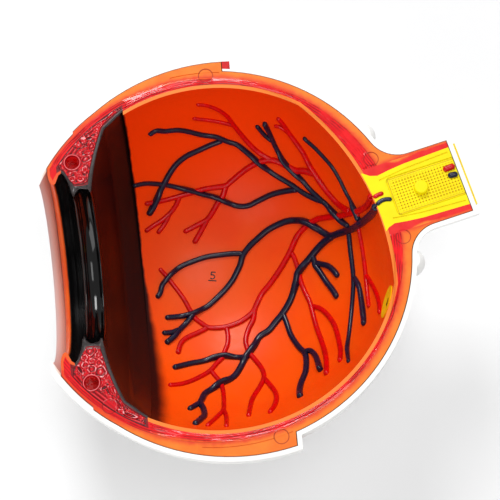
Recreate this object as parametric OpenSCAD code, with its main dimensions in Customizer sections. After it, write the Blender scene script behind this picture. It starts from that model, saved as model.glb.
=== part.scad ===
// Half of an enlarged teaching model of the eye, cut level through the optic nerve.
// The cut face looks up (+Z), the front of the eye points to -X and the nose side to +Y.
// The origin is under the middle of the model, on the surface that it lies on.

/* [Globe] */
// Outer radius of the white shell
shell_r = 71.8; // [66:0.1:79]
// Wall of the white shell
shell_wall = 1.65; // [1.2:0.05:2]
// Gap between the white shell and the insert that lifts out of it
fit_gap = 0.3; // [0.2:0.05:0.5]
// Radius of the shell's front opening
front_v = 38.2; // [35:0.1:42]
// Thickness of the insert's outer layer
sclera_t = 2.15; // [1.8:0.05:2.5]
// Thickness of the choroid around the bowl
choroid_t = 2.9; // [2.4:0.1:3.4]
// Thickness of the choroid around the ciliary body
choroid_front_t = 1.1; // [1:0.1:1.6]
// Distance that the choroid sphere sits ahead of the globe's centre
choroid_shift = 0.9; // [0.4:0.1:1]
// Thickness of the retina layer
retina_t = 1.3; // [0.9:0.1:1.6]
// Distance that the bowl's centre sits behind the globe's centre
bowl_back = 0.9; // [0.5:0.1:1.1]
// Radius of the flatter part of the bowl around the optic disc
fundus_r = 93.4; // [84:0.2:104]
// Depth by which that part flattens the bowl
fundus_flat = 4.4; // [4:0.1:5]
// Direction of the middle of that part, in degrees
fundus_angle = 21.2; // [19:0.2:24]

/* [Front segment] */
// Sideways offset of the lens axis from the globe's centre
axis_y = 1; // [0:0.1:1.4]
// Depth of the retina's front edge behind the shell's front
ora_d = 32.2; // [30:0.1:34]
// Thickness of the black pigment layer
pigment_t = 1; // [0.7:0.1:1.3]
// Depth of the rear ridge of the lens seat behind the shell's front
ridge_back_d = 18.5; // [18:0.1:19.5]
// Step from the shell's opening in to the rear ridge
ridge_back_in = 10.7; // [9.5:0.1:12]
// Depth of the front ridge of the lens seat
ridge_front_d = 12; // [11.5:0.1:12.5]
// Step from the shell's opening in to the front ridge
ridge_front_in = 12.2; // [11:0.1:13]
// Depth of the lens groove behind the front ridge
groove_depth = 2.8; // [2:0.1:3.2]
// Depth of the iris slot
slot_d = 8.2; // [7.8:0.1:8.6]
// Step from the shell's opening in to the iris slot
slot_in = 2.9; // [2.6:0.1:3.4]
// Depth of the insert's front behind the shell's front
insert_d = 3.3; // [2.8:0.1:3.8]
// Step from the shell's opening in to the bore of the limbus ring
limbus_in = 7.1; // [6.6:0.1:7.8]
// Thickness of the limbus ring
limbus_t = 0.9; // [0.6:0.1:1]
// Height of the step where the tendons meet the globe
tendon_step = 0.65; // [0.3:0.05:0.9]
// Depth of that step behind the shell's front
tendon_d = 13.5; // [12.5:0.1:14.5]
// Overhang of the shell's front lip over the insert's front
lip_over = 0.6; // [0.3:0.1:0.9]
// Depth of the two ciliary sections that hold the sockets
section_depth = 14; // [13:0.5:18]

/* [Locating sockets and peg] */
// Radius of the two locating sockets
socket_r = 2.4; // [1.8:0.1:2.6]
// Depth of the locating sockets
socket_depth = 9; // [5:0.5:12]
// Radius of the locating peg on the nerve
peg_r = 2.5; // [2:0.1:3]
// Height of the peg above the cut face
peg_h = 2; // [1:0.1:3]
// Length of the peg's stem in the nerve
peg_seat = 4; // [3:0.5:6]
// Step by which the stem is thinner than the peg
peg_step = 0.4; // [0.2:0.1:0.8]
// Distance of the peg from the nerve's cut end
peg_back = 14.5; // [12:0.5:18]
// Depth of the nose-side socket behind the shell's front
socket_n_d = 12.5; // [11.5:0.1:14]
// Depth of the temple-side socket behind the shell's front
socket_t_d = 13.6; // [12:0.1:15]
// Distance of the nose-side socket inside the ciliary body's outside
socket_n_in = 4; // [3.5:0.1:5]
// Distance of the temple-side socket inside the ciliary body's outside
socket_t_in = 3.35; // [3.2:0.05:5]

/* [Optic nerve] */
// Direction of the nerve towards the nose side, in degrees
nerve_angle = 13.25; // [12:0.25:14.5]
// Outer radius of the nerve part of the insert
nerve_r = 13.8; // [13.3:0.1:14.3]
// Thickness of the insert's outer layer on the nerve
nerve_wall = 0.7; // [0.5:0.1:1]
// Length of the nerve beyond the insert's globe
nerve_len = 22.35; // [20:0.05:26]
// Thickness of the sheath at the nerve's narrowest place
sheath_neck_t = 3.7; // [3.2:0.1:4.4]
// Thickness of the sheath at the nerve's cut end
sheath_end_t = 1.8; // [1.4:0.1:2.4]
// Width of the sheath around the optic disc
disc_rim = 1.1; // [0.8:0.1:2]
// Length over which the disc narrows to the neck
disc_taper = 4.3; // [3.6:0.1:5]
// Thickness of the retina in front of the disc
disc_skin = 0.4; // [0.3:0.05:0.6]
// Radius of the fillet between nerve and globe
neck_fillet = 12; // [9:0.5:14]
// Thickness of the shell's end wall
end_wall = 1.7; // [1.2:0.1:2.5]
// Thickness of the yellow disc on the outside of the end wall
end_disc_t = 0.6; // [0.4:0.1:1]
// Rim of the end wall around that disc
end_rim = 3.75; // [2:0.25:5]
// Length of the dotted pad on the nerve's cut face
pad_len = 25.5; // [22:0.5:27]
// Width of that pad
pad_w = 14.5; // [12:0.5:15.5]
// Radius of its corners
pad_round = 2; // [1:0.5:3]
// Depth of the dotted pad
pad_t = 0.5; // [0.3:0.1:0.8]
// Width of the engraved lines along the nerve
line_w = 0.6; // [0.4:0.1:0.8]
// Depth of the engraved lines
line_d = 0.4; // [0.2:0.1:0.6]

/* [Eye muscles] */
// Rise of the muscle stubs over the insert
rectus_rise = 3.2; // [2.6:0.1:3.8]
// Distance that the stubs' sphere sits behind the centre
rectus_shift = 5.5; // [5:0.1:6]
// Radius of the muscles' rounded section
rectus_round = 45; // [42:1:48]
// Cut end of the nose-side stub behind the centre
medial_end = 8.5; // [7:0.5:12]
// Cut end of the temple-side stub behind the centre
lateral_end = 22.3; // [18:0.5:24]
// Cut end of the lower stub behind the centre
inferior_end = 18; // [14:0.5:22]
// Rise of the slanting muscle over the shell
oblique_rise = 3; // [2:0.1:3.2]
// Radius of its rounded section
oblique_round = 20; // [16:1:24]
// Thickness of the red end of the nose-side stub
medial_end_t = 2.8; // [2:0.1:3.5]
// Thickness of the red ends of the two lower muscles
muscle_end_t = 1.8; // [1:0.1:2.5]
// Distance that the temple-side red end starts below the cut
lateral_drop = 4; // [3:0.5:6]
// Distance that the slanting muscle's ring is set back, so that it fades out
oblique_shift = 12; // [10:0.5:14]
// Height of the flat that the model rests on
foot_flat = 0.6; // [0.4:0.1:0.9]

/* [Vessels] */
// Radius of the bumps for the vessels that leave the shell
bump_r = 5; // [4.5:0.5:6]
// Depth of their centres inside the shell
bump_sink = 2; // [1:0.5:3]
// Depth of their centres below the cut
bump_drop = 4; // [2:0.5:5]
// Way along the shell from the nerve's axis to the nose-side bump
bump_n_way = 27.8; // [26:0.1:32]
// Way along the shell from the nerve's axis to the temple-side bump
bump_t_way = 25.4; // [25:0.1:30]
// Half width of the main retinal vessels
vessel_w = 1.15; // [0.9:0.05:1.2]
// Half width of the vessels at their tips
vessel_tip_w = 0.75; // [0.6:0.05:0.8]
// Height of the moulded vessels above the bowl
vessel_h = 1.1; // [0.8:0.1:1.3]
// Radius of the yellow spot
macula_r = 6; // [4:0.5:7]
// Thickness of the yellow spot
macula_t = 0.35; // [0.25:0.05:0.5]
// Width of the engraved rings on the cut face
ring_w = 0.35; // [0.2:0.05:0.5]
// Depth of the engraved rings
ring_d = 0.3; // [0.2:0.05:0.5]

/* [Hidden] */

far = 200;                                    // larger than the model
insert_r = shell_r - shell_wall - fit_gap;    // outer radius of the insert
shell_grow = fit_gap + shell_wall;            // from the insert out to the shell's outside
choroid_r = insert_r - sclera_t;
ciliary_r = choroid_r - choroid_front_t;
bowl_r = choroid_r - choroid_t - retina_t;
lip_r = insert_r - tendon_step + fit_gap - lip_over;    // inner radius of the shell's front lip

// planes across the lens axis, as distances ahead of the globe's centre
lip_u = sqrt(shell_r * shell_r - front_v * front_v);
insert_front_u = lip_u - insert_d;
slot_u = lip_u - slot_d;
ridge_front_u = lip_u - ridge_front_d;
ridge_back_u = lip_u - ridge_back_d;
tendon_u = lip_u - tendon_d;
ora_u = lip_u - ora_d;
// radii about the lens axis
limbus_v = front_v - limbus_in;
slot_v = front_v - slot_in;
ridge_front_v = front_v - ridge_front_in;
ridge_back_v = front_v - ridge_back_in;
ora_v = sqrt(bowl_r * bowl_r - ora_u * ora_u);
section_side = ridge_front_v / 2;             // clear of the lens axis and inside the ring

// centres of the bowl and of its flatter part
bowl_c = [bowl_back, 0, 0];
fundus_c = bowl_c - (fundus_r - bowl_r + fundus_flat) * [cos(fundus_angle), sin(fundus_angle), 0];

rectus_r = insert_r + rectus_rise;
stub_r = rectus_r + shell_grow;               // outside of the muscle stubs
neck_t = nerve_r + neck_fillet;               // centre of the neck fillet
neck_a = sqrt(pow(insert_r + neck_fillet, 2) - neck_t * neck_t);
sheath_r = nerve_r - nerve_wall;
core_neck_r = sheath_r - sheath_neck_t;
core_end_r = sheath_r - sheath_end_t;
disc_r = sheath_r - disc_rim;
nerve_end = insert_r + nerve_len;             // cut end, from the globe's centre
wall_end = nerve_end + fit_gap + end_wall;
end_disc_r = nerve_r + shell_grow - end_rim;
peg_a = nerve_end - peg_back;

// where the nerve's axis leaves the bowl, and a start for what is cut along it
function hit(c, r) = let (k = c * [cos(nerve_angle), sin(nerve_angle), 0])
    k + sqrt(r * r - c * c + k * k);
disc_a = min(hit(bowl_c, bowl_r), hit(fundus_c, fundus_r));
nerve_from = disc_a - 10;
core_mid_a = disc_a + 0.46 * (nerve_end - disc_a);

// the model's place: middle of the box in plan, and the lowest face at zero
x_max = max(wall_end * cos(nerve_angle) + (nerve_r + shell_grow) * sin(nerve_angle),
    (wall_end + end_disc_t) * cos(nerve_angle) + end_disc_r * sin(nerve_angle));
place_at = [(lip_u - x_max) / 2, 0, stub_r - foot_flat];

// ---------- outlines, as [distance ahead of the centre, radius] ----------

function bez(a, b, c, t) = (1 - t) * (1 - t) * a + 2 * t * (1 - t) * b + t * t * c;

// visible line of the front cavity: pars plana, ciliary slope, lens groove, iris slot
corner = [ora_u + 7.2, ora_v - 6.1];
slope_mid = [ridge_back_u - 1.7, (corner[1] + ridge_back_v) / 2 + 0.9];
groove_v = ridge_front_v + groove_depth;
seat_line = concat(
    [[ora_u, ora_v], [ora_u + 3.9, ora_v - 3.4]],
    [for (t = [0:1/6:1]) bez(corner, slope_mid, [ridge_back_u, ridge_back_v], t)],
    [[ridge_back_u + 0.9, groove_v - 0.5], [ridge_back_u + 3.2, groove_v],
     [ridge_front_u - 1.2, groove_v - 0.8], [ridge_front_u, ridge_front_v],
     [ridge_front_u + 0.7, ridge_front_v + 2.8], [slot_u - 2, slot_v - 3.3],
     [slot_u - 1, slot_v - 0.9], [slot_u, slot_v]]);
// hidden back of the black layer, one pigment_t further out
p = pigment_t;
pigment_back = concat(
    [[ora_u, ora_v + p], [ora_u + 4.3, ora_v - 3.4 + p]],
    [for (t = [0:1/6:1]) bez(corner + [0.8 * p, 0.6 * p], slope_mid + [0.95 * p, 0.3 * p],
        [ridge_back_u + p, ridge_back_v + 2.6], t)],
    [[ridge_back_u + 1.6 + p, groove_v + p], [ridge_front_u - 0.6, groove_v + p],
     [slot_u - 2.2, slot_v - 2.5 + p], [slot_u - 1.4, slot_v - 0.6 + p], [slot_u, slot_v + p]]);
// visible line of the limbus, from the slot round the nose to the insert's front
nose_u = insert_front_u - 1.9;
nose_line = [[slot_u + 1, slot_v - 0.7], [slot_u + 1.7, slot_v - 2.3], [nose_u - 0.7, limbus_v + 0.5],
    [nose_u + 0.1, limbus_v], [nose_u + 0.9, limbus_v + 0.5], [insert_front_u - 0.3, limbus_v + 2],
    [insert_front_u, limbus_v + 3.8]];
q = limbus_t;
nose_back = [[insert_front_u, limbus_v + 6.4], [insert_front_u - q, limbus_v + 6.4],
    [insert_front_u - q, limbus_v + 3.6], [insert_front_u - 0.5 - q, limbus_v + 2.4],
    [nose_u + 0.1, limbus_v + 0.6 + q], [slot_u + 2.6, slot_v - 1.5], [slot_u + 1.4, slot_v + 0.3],
    [slot_u, slot_v + p]];

// ---------- helpers ----------

module place() translate(place_at) children();

module below_cut() intersection() {
    children();
    translate([-far, -far, -far]) cube([2 * far, 2 * far, far]);
}

// slab between two distances ahead of the globe's centre
module ahead(from_u, to_u) translate([-to_u, -far, -far]) cube([to_u - from_u, 2 * far, 2 * far]);

// half ring about the lens axis, or a full one to cut with, from points [ahead, radius]
module spin_front(pts, turn) translate([0, axis_y, 0]) rotate([0, -90, 0]) rotate([0, 0, 90])
    rotate_extrude(angle = turn, $fn = 180) polygon([for (k = pts) [k[1], k[0]]]);

// half solid about the nerve axis, from a flat shape in [radius, distance]
module spin_nerve() rotate([0, 0, nerve_angle]) rotate([0, 90, 0]) rotate([0, 0, -90])
    rotate_extrude(angle = 180, $fn = 120) children();

module nerve_rod(r, from_a, to_a) rotate([0, 0, nerve_angle]) translate([from_a, 0, 0])
    rotate([0, 90, 0]) cylinder(r = r, h = to_a - from_a, $fn = 96);

// ring with a rounded section that a muscle stub is cut from, set back by shift
module muscle_ring(r, round_r, g, shift) translate([shift, 0, 0]) rotate_extrude($fn = 180)
    intersection() {
        translate([r - round_r, 0]) circle(r = round_r + g, $fn = 180);
        translate([r / 2, -r / 2]) square(r);
    }

// part of the ring on one side (s = 1 towards the nose), as far back as end_x
module side_stub(g, end_x, s) intersection() {
    muscle_ring(rectus_r, rectus_round, g, rectus_shift);
    translate([3 - tendon_u, s > 0 ? shell_r / 3 : -far, -shell_r / 2])
        cube([tendon_u - 3 + end_x, far - shell_r / 3, shell_r / 2 + 1]);
}

// outside of the insert, grown by g for its seat in the shell
module insert_form(g) {
    difference() {
        sphere(r = insert_r + g, $fn = 180);
        ahead(tendon_u, far);
    }
    intersection() {
        sphere(r = insert_r - tendon_step + g, $fn = 180);
        ahead(tendon_u - 5, insert_front_u + g);
    }
    nerve_rod(nerve_r + g, nerve_from, nerve_end + g);
    spin_nerve() difference() {
        polygon([[0, 0], [neck_t, neck_a] * (insert_r + g) / (insert_r + neck_fillet),
            [neck_t, neck_a], [0, neck_a]]);
        translate([neck_t, neck_a]) circle(r = neck_fillet - g, $fn = 96);
    }
    side_stub(g, medial_end + g, 1);
    side_stub(g, lateral_end + g, -1);
}

module choroid_form() difference() {
    translate([-choroid_shift, 0, 0]) sphere(r = choroid_r, $fn = 180);
    ahead(insert_front_u - limbus_t, far);
}

// the bowl, grown by g
module bowl_form(g) intersection() {
    translate(bowl_c) sphere(r = bowl_r + g, $fn = 180);
    translate(fundus_c) sphere(r = fundus_r + g, $fn = 180);
}

module ciliary_form() intersection() {
    sphere(r = ciliary_r, $fn = 180);
    ahead(ora_u, slot_u + 1.6);
}

module pigment_form() spin_front(concat([[ora_u, 0]], pigment_back, [[slot_u, 0]]), 180);

module seat_form() spin_front(concat([[ora_u, 0]], seat_line, [[slot_u, 0]]), 180);

module limbus_form() spin_front(concat([[slot_u, slot_v]], nose_line, nose_back), 180);

// all that the pigment layer, the limbus ring and the space between them take from the solid layers
module cavity_form() spin_front(concat([[ora_u - 2, 0], [ora_u - 2, ora_v - 1]], pigment_back,
    [for (i = [len(nose_back) - 2:-1:0]) nose_back[i]],
    [[insert_front_u + 2, limbus_v + 6.4], [insert_front_u + 2, 0]]), 360);

module core_form() spin_nerve() polygon([[0, nerve_from], [disc_r + 0.5, nerve_from], [disc_r, disc_a - 0.6],
    [(disc_r + core_neck_r) / 2 - 0.5, disc_a + 0.4 * disc_taper], [core_neck_r, disc_a + disc_taper],
    [0.65 * core_neck_r + 0.35 * core_end_r, disc_a + 2 * disc_taper],
    [0.32 * core_neck_r + 0.68 * core_end_r, core_mid_a], [core_end_r, nerve_end], [0, nerve_end]]);

// ---------- white shell and what it carries ----------

module sclera_shell() color("white") place() difference() {
    below_cut() difference() {
        union() {
            sphere(r = shell_r, $fn = 180);
            insert_form(shell_grow);
        }
        ahead(lip_u, far);
    }
    insert_form(fit_gap);
    sphere(r = lip_r, $fn = 180);
    medial_end_form();
    lateral_end_form();
}

// end disc glued on the outside of the nerve's end wall
module nerve_end_disc() color("gold") place() below_cut()
    nerve_rod(end_disc_r, wall_end, wall_end + end_disc_t);

// red end let into the end wall of a side stub, and into the shell below it
module stub_end(end_x, t, s) below_cut() difference() {
    side_stub(fit_gap, end_x + fit_gap + t, s);
    sphere(r = insert_r + fit_gap + shell_wall / 2, $fn = 180);
    ahead(-end_x - fit_gap, far);
}

module medial_end_form() stub_end(medial_end, medial_end_t, 1);

// flush with the wall, and lower than the cut
module lateral_end_form() difference() {
    stub_end(lateral_end, shell_wall, -1);
    translate([0, -far, -lateral_drop]) cube(far);
}

module medial_rectus_end() color("crimson") place() medial_end_form();

module lateral_rectus_end() color("crimson") place() lateral_end_form();

// strap under the globe, with the flat that the model lies on
module inferior_strap(from_x, to_x, g) difference() {
    intersection() {
        rotate([90, 0, 0]) muscle_ring(rectus_r, rectus_round, g, rectus_shift);
        translate([from_x, -far, -far]) cube([to_x - from_x, 2 * far, far - shell_r / 2]);
    }
    sphere(r = shell_r, $fn = 180);
    translate([-far, -far, -far - stub_r + foot_flat]) cube([2 * far, 2 * far, far]);
}

module inferior_rectus() color("white") place() inferior_strap(-shell_r, inferior_end, shell_grow);

module inferior_rectus_end() color("crimson") place()
    inferior_strap(inferior_end, inferior_end + muscle_end_t, shell_grow - 0.8);

// slanting strap low on the temple side, cut square towards the lower muscle
module oblique_strap(from_y, to_y, g) rotate([0, 105, 45]) rotate([0, 0, -34]) difference() {
    intersection() {
        muscle_ring(shell_r + oblique_rise - oblique_shift, oblique_round, g, oblique_shift);
        translate([oblique_shift, from_y, -far]) cube([far, to_y - from_y, 2 * far]);
    }
    sphere(r = shell_r, $fn = 180);
}

module inferior_oblique() color("white") place() oblique_strap(-far, 0, 0);

module inferior_oblique_end() color("crimson") place() oblique_strap(0, muscle_end_t, -0.5);

// domes where vessels leave the shell, either side of the nerve
module vortex_bump(way) difference() {
    rotate([0, 0, nerve_angle + way / shell_r * 180 / PI]) translate([shell_r - bump_sink, 0, -bump_drop])
        sphere(r = bump_r, $fn = 60);
    insert_form(shell_grow);
    translate([-far, -far, 0]) cube(2 * far);
}

module vortex_vein_nasal() color("ivory") place() vortex_bump(bump_n_way);

module vortex_vein_temporal() color("ivory") place() vortex_bump(-bump_t_way);

// ---------- layers of the insert ----------

module sclera_section() color("sandybrown") place() difference() {
    below_cut() insert_form(0);
    choroid_form();
    nerve_rod(sheath_r, nerve_from, far);
    cavity_form();
    pin_marks();
    intersection() {
        engraved_ring([0, 0], insert_r - ring_w);
        union() {
            translate([-medial_end - 2, 0, -1]) cube([2 * medial_end + 1, far, 2]);
            translate([-medial_end - 2, -far, -1]) cube([medial_end + lateral_end + 1, far, 2]);
        }
    }
}

// shallow ring cut in the flat face
module engraved_ring(c, r) translate([c[0], c[1], -ring_d]) difference() {
    cylinder(r = r + ring_w / 2, h = 2 * ring_d, $fn = 180);
    cylinder(r = r - ring_w / 2, h = 3 * ring_d, center = true, $fn = 180);
}

module choroid() color("crimson") place() difference() {
    below_cut() choroid_form();
    ciliary_form();
    difference() {
        bowl_form(retina_t);
        ahead(ora_u, far);
    }
    nerve_rod(sheath_r, nerve_from, far);
    intersection() {
        cavity_form();
        ahead(slot_u - 3, far);
    }
    pin_marks();
    engraved_ring([-choroid_shift, 0], choroid_r - 2 * ring_w);
    difference() {
        engraved_ring(bowl_c, bowl_r + retina_t + 2 * ring_w);
        ahead(ora_u - 2 * ring_w, far);
    }
}

module retina() color("darkorange") place() difference() {
    below_cut() bowl_form(retina_t);
    bowl_form(0);
    ahead(ora_u, far);
    difference() {
        core_form();
        bowl_form(disc_skin);
    }
}

// ring of the ciliary body below its two sections
module ciliary_body() color("hotpink") place() difference() {
    ciliary_form();
    cavity_form();
    translate([-far, -far, -section_depth]) cube(2 * far);
}

// top of the ring on one side, with its socket
module ciliary_section(s) difference() {
    intersection() {
        ciliary_form();
        translate([-far, s > 0 ? section_side : -far, -section_depth])
            cube([2 * far, far - section_side, section_depth]);
    }
    cavity_form();
    locating_sockets();
    pin_marks();
}

module ciliary_section_nasal() color("hotpink") place() ciliary_section(1);

module ciliary_section_temporal() color("hotpink") place() ciliary_section(-1);

module pigment_layer() color("black") place() difference() {
    pigment_form();
    seat_form();
}

module limbus_ring() color("orange") place() limbus_form();

// blind sockets for the pins of the other half
function socket(d, inside, s) = let (u = lip_u - d) [-u, s * sqrt(pow(ciliary_r - inside, 2) - u * u)];
sockets = [socket(socket_n_d, socket_n_in, 1), socket(socket_t_d, socket_t_in, -1)];
module locating_sockets() for (s = sockets) translate([s[0], s[1], -socket_depth])
    cylinder(r = socket_r, h = socket_depth + 1, $fn = 48);

// round ejector marks of the moulding, just sunk in the cut face: [distance inside the insert, direction]
marks = [[4.1, -129.1], [0.2, -75.7], [2.5, 0.3], [3.4, 27.3], [1.4, 87.9]];
mark_r = 2.6;
mark_d = 0.2;
module pin_marks() for (m = marks) rotate([0, 0, m[1]]) translate([insert_r - m[0], 0, -mark_d])
    cylinder(r = mark_r, h = 1, $fn = 48);

// ---------- optic nerve ----------

module nerve_sheath() color("red") place() difference() {
    below_cut() nerve_rod(sheath_r, nerve_from, nerve_end);
    bowl_form(retina_t);
    core_form();
    pin_marks();
}

module pad_plan(grow) rotate([0, 0, nerve_angle])
    translate([nerve_end - pad_len - grow, -pad_w / 2 - grow]) union() {
        translate([pad_round, 0]) square([pad_len - pad_round + 2 * grow, pad_w + 2 * grow]);
        translate([0, pad_round]) square([pad_len / 2, pad_w - 2 * pad_round + 2 * grow]);
        for (y = [pad_round, pad_w - pad_round + 2 * grow])
            translate([pad_round, y]) circle(r = pad_round, $fn = 32);
    }

module nerve_core() color("yellow") place() difference() {
    core_form();
    bowl_form(disc_skin);
    translate([0, 0, -pad_t]) linear_extrude(far) pad_plan(0.3);
    peg_rod(peg_r - peg_step, -peg_seat, 1);
    for (s = [-1, 1]) side_line(s);
}

// engraved line along each side of the core
line_a = disc_a + disc_taper;
line_in = [1.6, 0.3, 1.4];                    // insets from the core's edge
module side_line(s) rotate([0, 0, nerve_angle]) translate([0, 0, -line_d]) linear_extrude(1)
    polygon([for (k = [[line_a, core_neck_r - line_in[0]], [core_mid_a, core_neck_r - line_in[1]],
        [nerve_end - 1, core_end_r - line_in[2]], [nerve_end - 1, core_end_r - line_in[2] - line_w],
        [core_mid_a, core_neck_r - line_in[1] - line_w], [line_a, core_neck_r - line_in[0] - line_w]])
        [k[0], s * k[1]]]);

module nerve_pad() color("khaki") place() difference() {
    translate([0, 0, -pad_t]) linear_extrude(pad_t - 0.1) pad_plan(0);
    peg_rod(peg_r - peg_step, -1, 1);
}

module peg_rod(r, z0, z1) rotate([0, 0, nerve_angle]) translate([peg_a, 0, z0])
    cylinder(r = r, h = z1 - z0, $fn = 64);

// round peg with a thinner stem in the nerve
module nerve_peg() color("yellow") place() {
    peg_rod(peg_r - peg_step, -peg_seat, 0.5);
    peg_rod(peg_r, 0, peg_h);
}

// half-round ridge on the cut face, through points in [distance past from_a, side] on the nerve
module face_vessel(from_a, pts, w, h) {
    s = [for (k = pts) [k[0] + from_a, k[1], seat_lift]];
    rotate([0, 0, nerve_angle]) ridge(s, [for (k = s) [0, 0, 1]], [for (k = s) w], h, [for (k = s) 0]);
}

module central_artery() color("red") place()
    face_vessel(disc_a, [[0.6, 2.2], [2.2, 2.6], [3.7, 2.5]], vessel_tip_w, vessel_h);
module central_vein() color("navy") place()
    face_vessel(disc_a, [[0.5, -0.7], [2.1, -0.1], [4.0, 0.0], [5.7, -0.6]], vessel_tip_w, vessel_h);
module nerve_artery_end() color("red") place()
    face_vessel(nerve_end, [[-3.5, 3.9], [-1.4, 4.1]], vessel_w, vessel_h);
module nerve_vein_end() color("navy") place()
    face_vessel(nerve_end, [[-2.6, 1.1], [-0.9, 1.1]], vessel_w, vessel_h);

// ---------- fundus ----------

// yellow spot on the temple-side wall of the bowl
module macula() color("gold") place() intersection() {
    difference() {
        bowl_form(0);
        bowl_form(-macula_t);
    }
    below_cut() rotate([0, 90 + 10.6, -18.4]) cylinder(r = macula_r, h = far, $fn = 64);
}

// routes in plan, picked by hand; each row is [half width share, points]
arteries_1 = [
    [1, [[57.4, 16.8], [54, 18.6], [50, 20.7], [44, 23], [40, 23.9], [36, 23.2], [32, 21], [28, 15.5],
        [21, 7], [16, 2], [12.5, -4.5], [9.5, -12], [8, -18], [9, -22.5], [13, -30], [13.3, -35],
        [9.5, -41], [7, -48], [6.3, -51.5]]],
    [0.85, [[12.5, -4.5], [8, -8], [1, -10.2], [-6, -9.8], [-10.5, -6], [-14, 1.5], [-18, 8], [-22.5, 14]]],
    [0.8, [[-6, -9.8], [-13, -13], [-17, -16.5], [-18.3, -20.5]]],
    [0.8, [[1, -10.2], [1.3, -14], [-0.5, -20.5], [-6.5, -28.3], [-14, -32.5], [-22.5, -34.3]]],
    [0.8, [[-6.5, -28.3], [-3, -34], [-2.3, -43], [-5, -50], [-9, -55]]],
    [0.8, [[-2.3, -43], [-1.8, -50], [-2, -56]]],
    [0.8, [[13.3, -35], [17, -41], [17, -46], [14, -51.5]]]];
arteries_2 = [
    [0.85, [[28.8, 13], [30.5, 7], [32, -1], [33.8, -7.5], [35, -17], [37, -29], [36.2, -39]]],
    [0.8, [[33.8, -7.5], [39.5, -13], [42.3, -24], [41.7, -35]]]];
arteries_3 = [
    [0.85, [[50.4, 23], [47, 26.5], [42, 34], [38, 41], [33.5, 48.5], [27.5, 55.5]]],
    [0.65, [[31.5, 51.2], [26, 54.3]]],
    [0.85, [[40, 37.5], [33, 41], [27, 45], [20, 46.7], [13, 45], [6, 41.5], [-3, 41], [-12, 39.2],
        [-25.5, 36.3]]],
    [0.75, [[-12, 39.2], [-16.5, 33.5], [-26.5, 27]]],
    [0.75, [[-16.5, 33.5], [-22, 26.5]]],
    [0.8, [[6, 41.5], [2, 36], [-2.5, 31], [-12, 27]]],
    [0.8, [[-2.5, 31], [-8.5, 22.8]]],
    [0.8, [[24, 46.3], [17, 51.5], [9, 59.5], [-2, 62]]],
    [0.6, [[11, 57.6], [3, 59.6], [-4, 60]]]];
arteries_4 = [
    [0.8, [[53.9, 15.8], [54.3, 9], [54.7, 0], [54.8, -3], [54.3, -16.5]]],
    [0.7, [[54.8, -3], [57.2, -11], [57.3, -22]]]];
veins_1 = [
    [1.05, [[58, 13.3], [54, 14.7], [50, 15.7], [43.5, 16], [38, 21.5], [32, 25.3], [28, 26], [20, 24.3],
        [10, 17], [7, 11], [-1, 2.2], [-5, -1], [-11.5, -4], [-22, -5.3]]],
    [0.85, [[10, 17], [1, 18], [-9, 16.5], [-18, 12], [-22, 7.5], [-24.5, 2.5]]],
    [0.85, [[-11.5, -4], [-17, -10.5], [-22.5, -16]]],
    [0.7, [[-17, -10.5], [-23.5, -11.6]]]];
veins_2 = [
    [1, [[41, 14.6], [36, 11.5], [30.5, 6.5], [28, 0], [23, -8], [17, -14], [12.5, -17], [7, -24.5],
        [3, -31], [-3, -34.5], [-9, -38.5], [-11, -43], [-9.8, -49], [-13.5, -54]]],
    [0.8, [[-11, -43], [-15.5, -46]]],
    [0.8, [[7, -24.5], [-1, -22.5], [-9, -24], [-20.5, -26.5]]],
    [0.75, [[23, -8], [25, -17], [29.5, -26], [29.5, -33], [26, -43], [25.8, -46.5]]],
    [0.75, [[29.5, -26], [33, -28], [34.5, -36.5]]],
    [0.85, [[36, 11.5], [37, 7.5], [40.5, 0], [43.8, -7.5]]],
    [0.8, [[37, 7.5], [41.5, 6], [45, 0.5]]]];
veins_3 = [
    [0.85, [[49.6, 18.4], [46.5, 22.5], [42, 28.5], [37, 32], [32, 36.3], [24, 42.5], [16, 49.5], [7, 54.2],
        [-6, 57.2], [-15, 57], [-21, 55.5]]],
    [0.85, [[32, 36.3], [23, 36], [13, 34], [6, 36], [-3, 39.5], [-13, 42], [-28, 41.8]]],
    [0.8, [[7, 54.2], [-3, 52.5], [-12, 48.8], [-17, 43.5], [-24.7, 32.5]]],
    [0.8, [[42, 28.5], [35, 37.5], [29, 44.5], [25, 51.5], [22.5, 56]]],
    [0.65, [[25, 51.5], [19, 56]]],
    [0.65, [[53.6, 18.2], [52, 22.5], [46, 36], [36.5, 48.5]]]];
veins_4 = [
    [0.8, [[50.3, 13.1], [50.4, -1], [48, -16], [44.5, -37]]],
    [0.75, [[50.4, -1], [52.2, -12], [51.8, -23]]]];

// height of the bowl's surface under a point in plan, lifted by g towards the middle
function ball_z(q, c, r) = -sqrt(max(0, r * r - pow(q[0] - c[0], 2) - pow(q[1] - c[1], 2)));
function on_bowl(q, g) = [q[0], q[1], max(ball_z(q, bowl_c, bowl_r - g), ball_z(q, fundus_c, fundus_r - g))];
function unit(v) = v / norm(v);
function bowl_n(s) = unit((norm(s - bowl_c) - bowl_r > norm(s - fundus_c) - fundus_r ? bowl_c : fundus_c) - s);

// smooth route: a cubic through the hand-picked points, vessel_steps rings for each stretch
vessel_steps = 3;
route_k = bowl_r / 63.5;                      // the routes are picked on a bowl of this radius
function cubic(a, b, c, d, t) =
    b + 0.5 * t * (c - a + t * (2 * a - 5 * b + 4 * c - d + t * (3 * (b - c) + d - a)));
function route(r) = let (n = len(r)) concat(
    [for (i = [0:n - 2], k = [0:vessel_steps - 1])
        cubic(r[max(i - 1, 0)], r[i], r[i + 1], r[min(i + 2, n - 1)], k / vessel_steps)],
    [r[n - 1]]);

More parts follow.
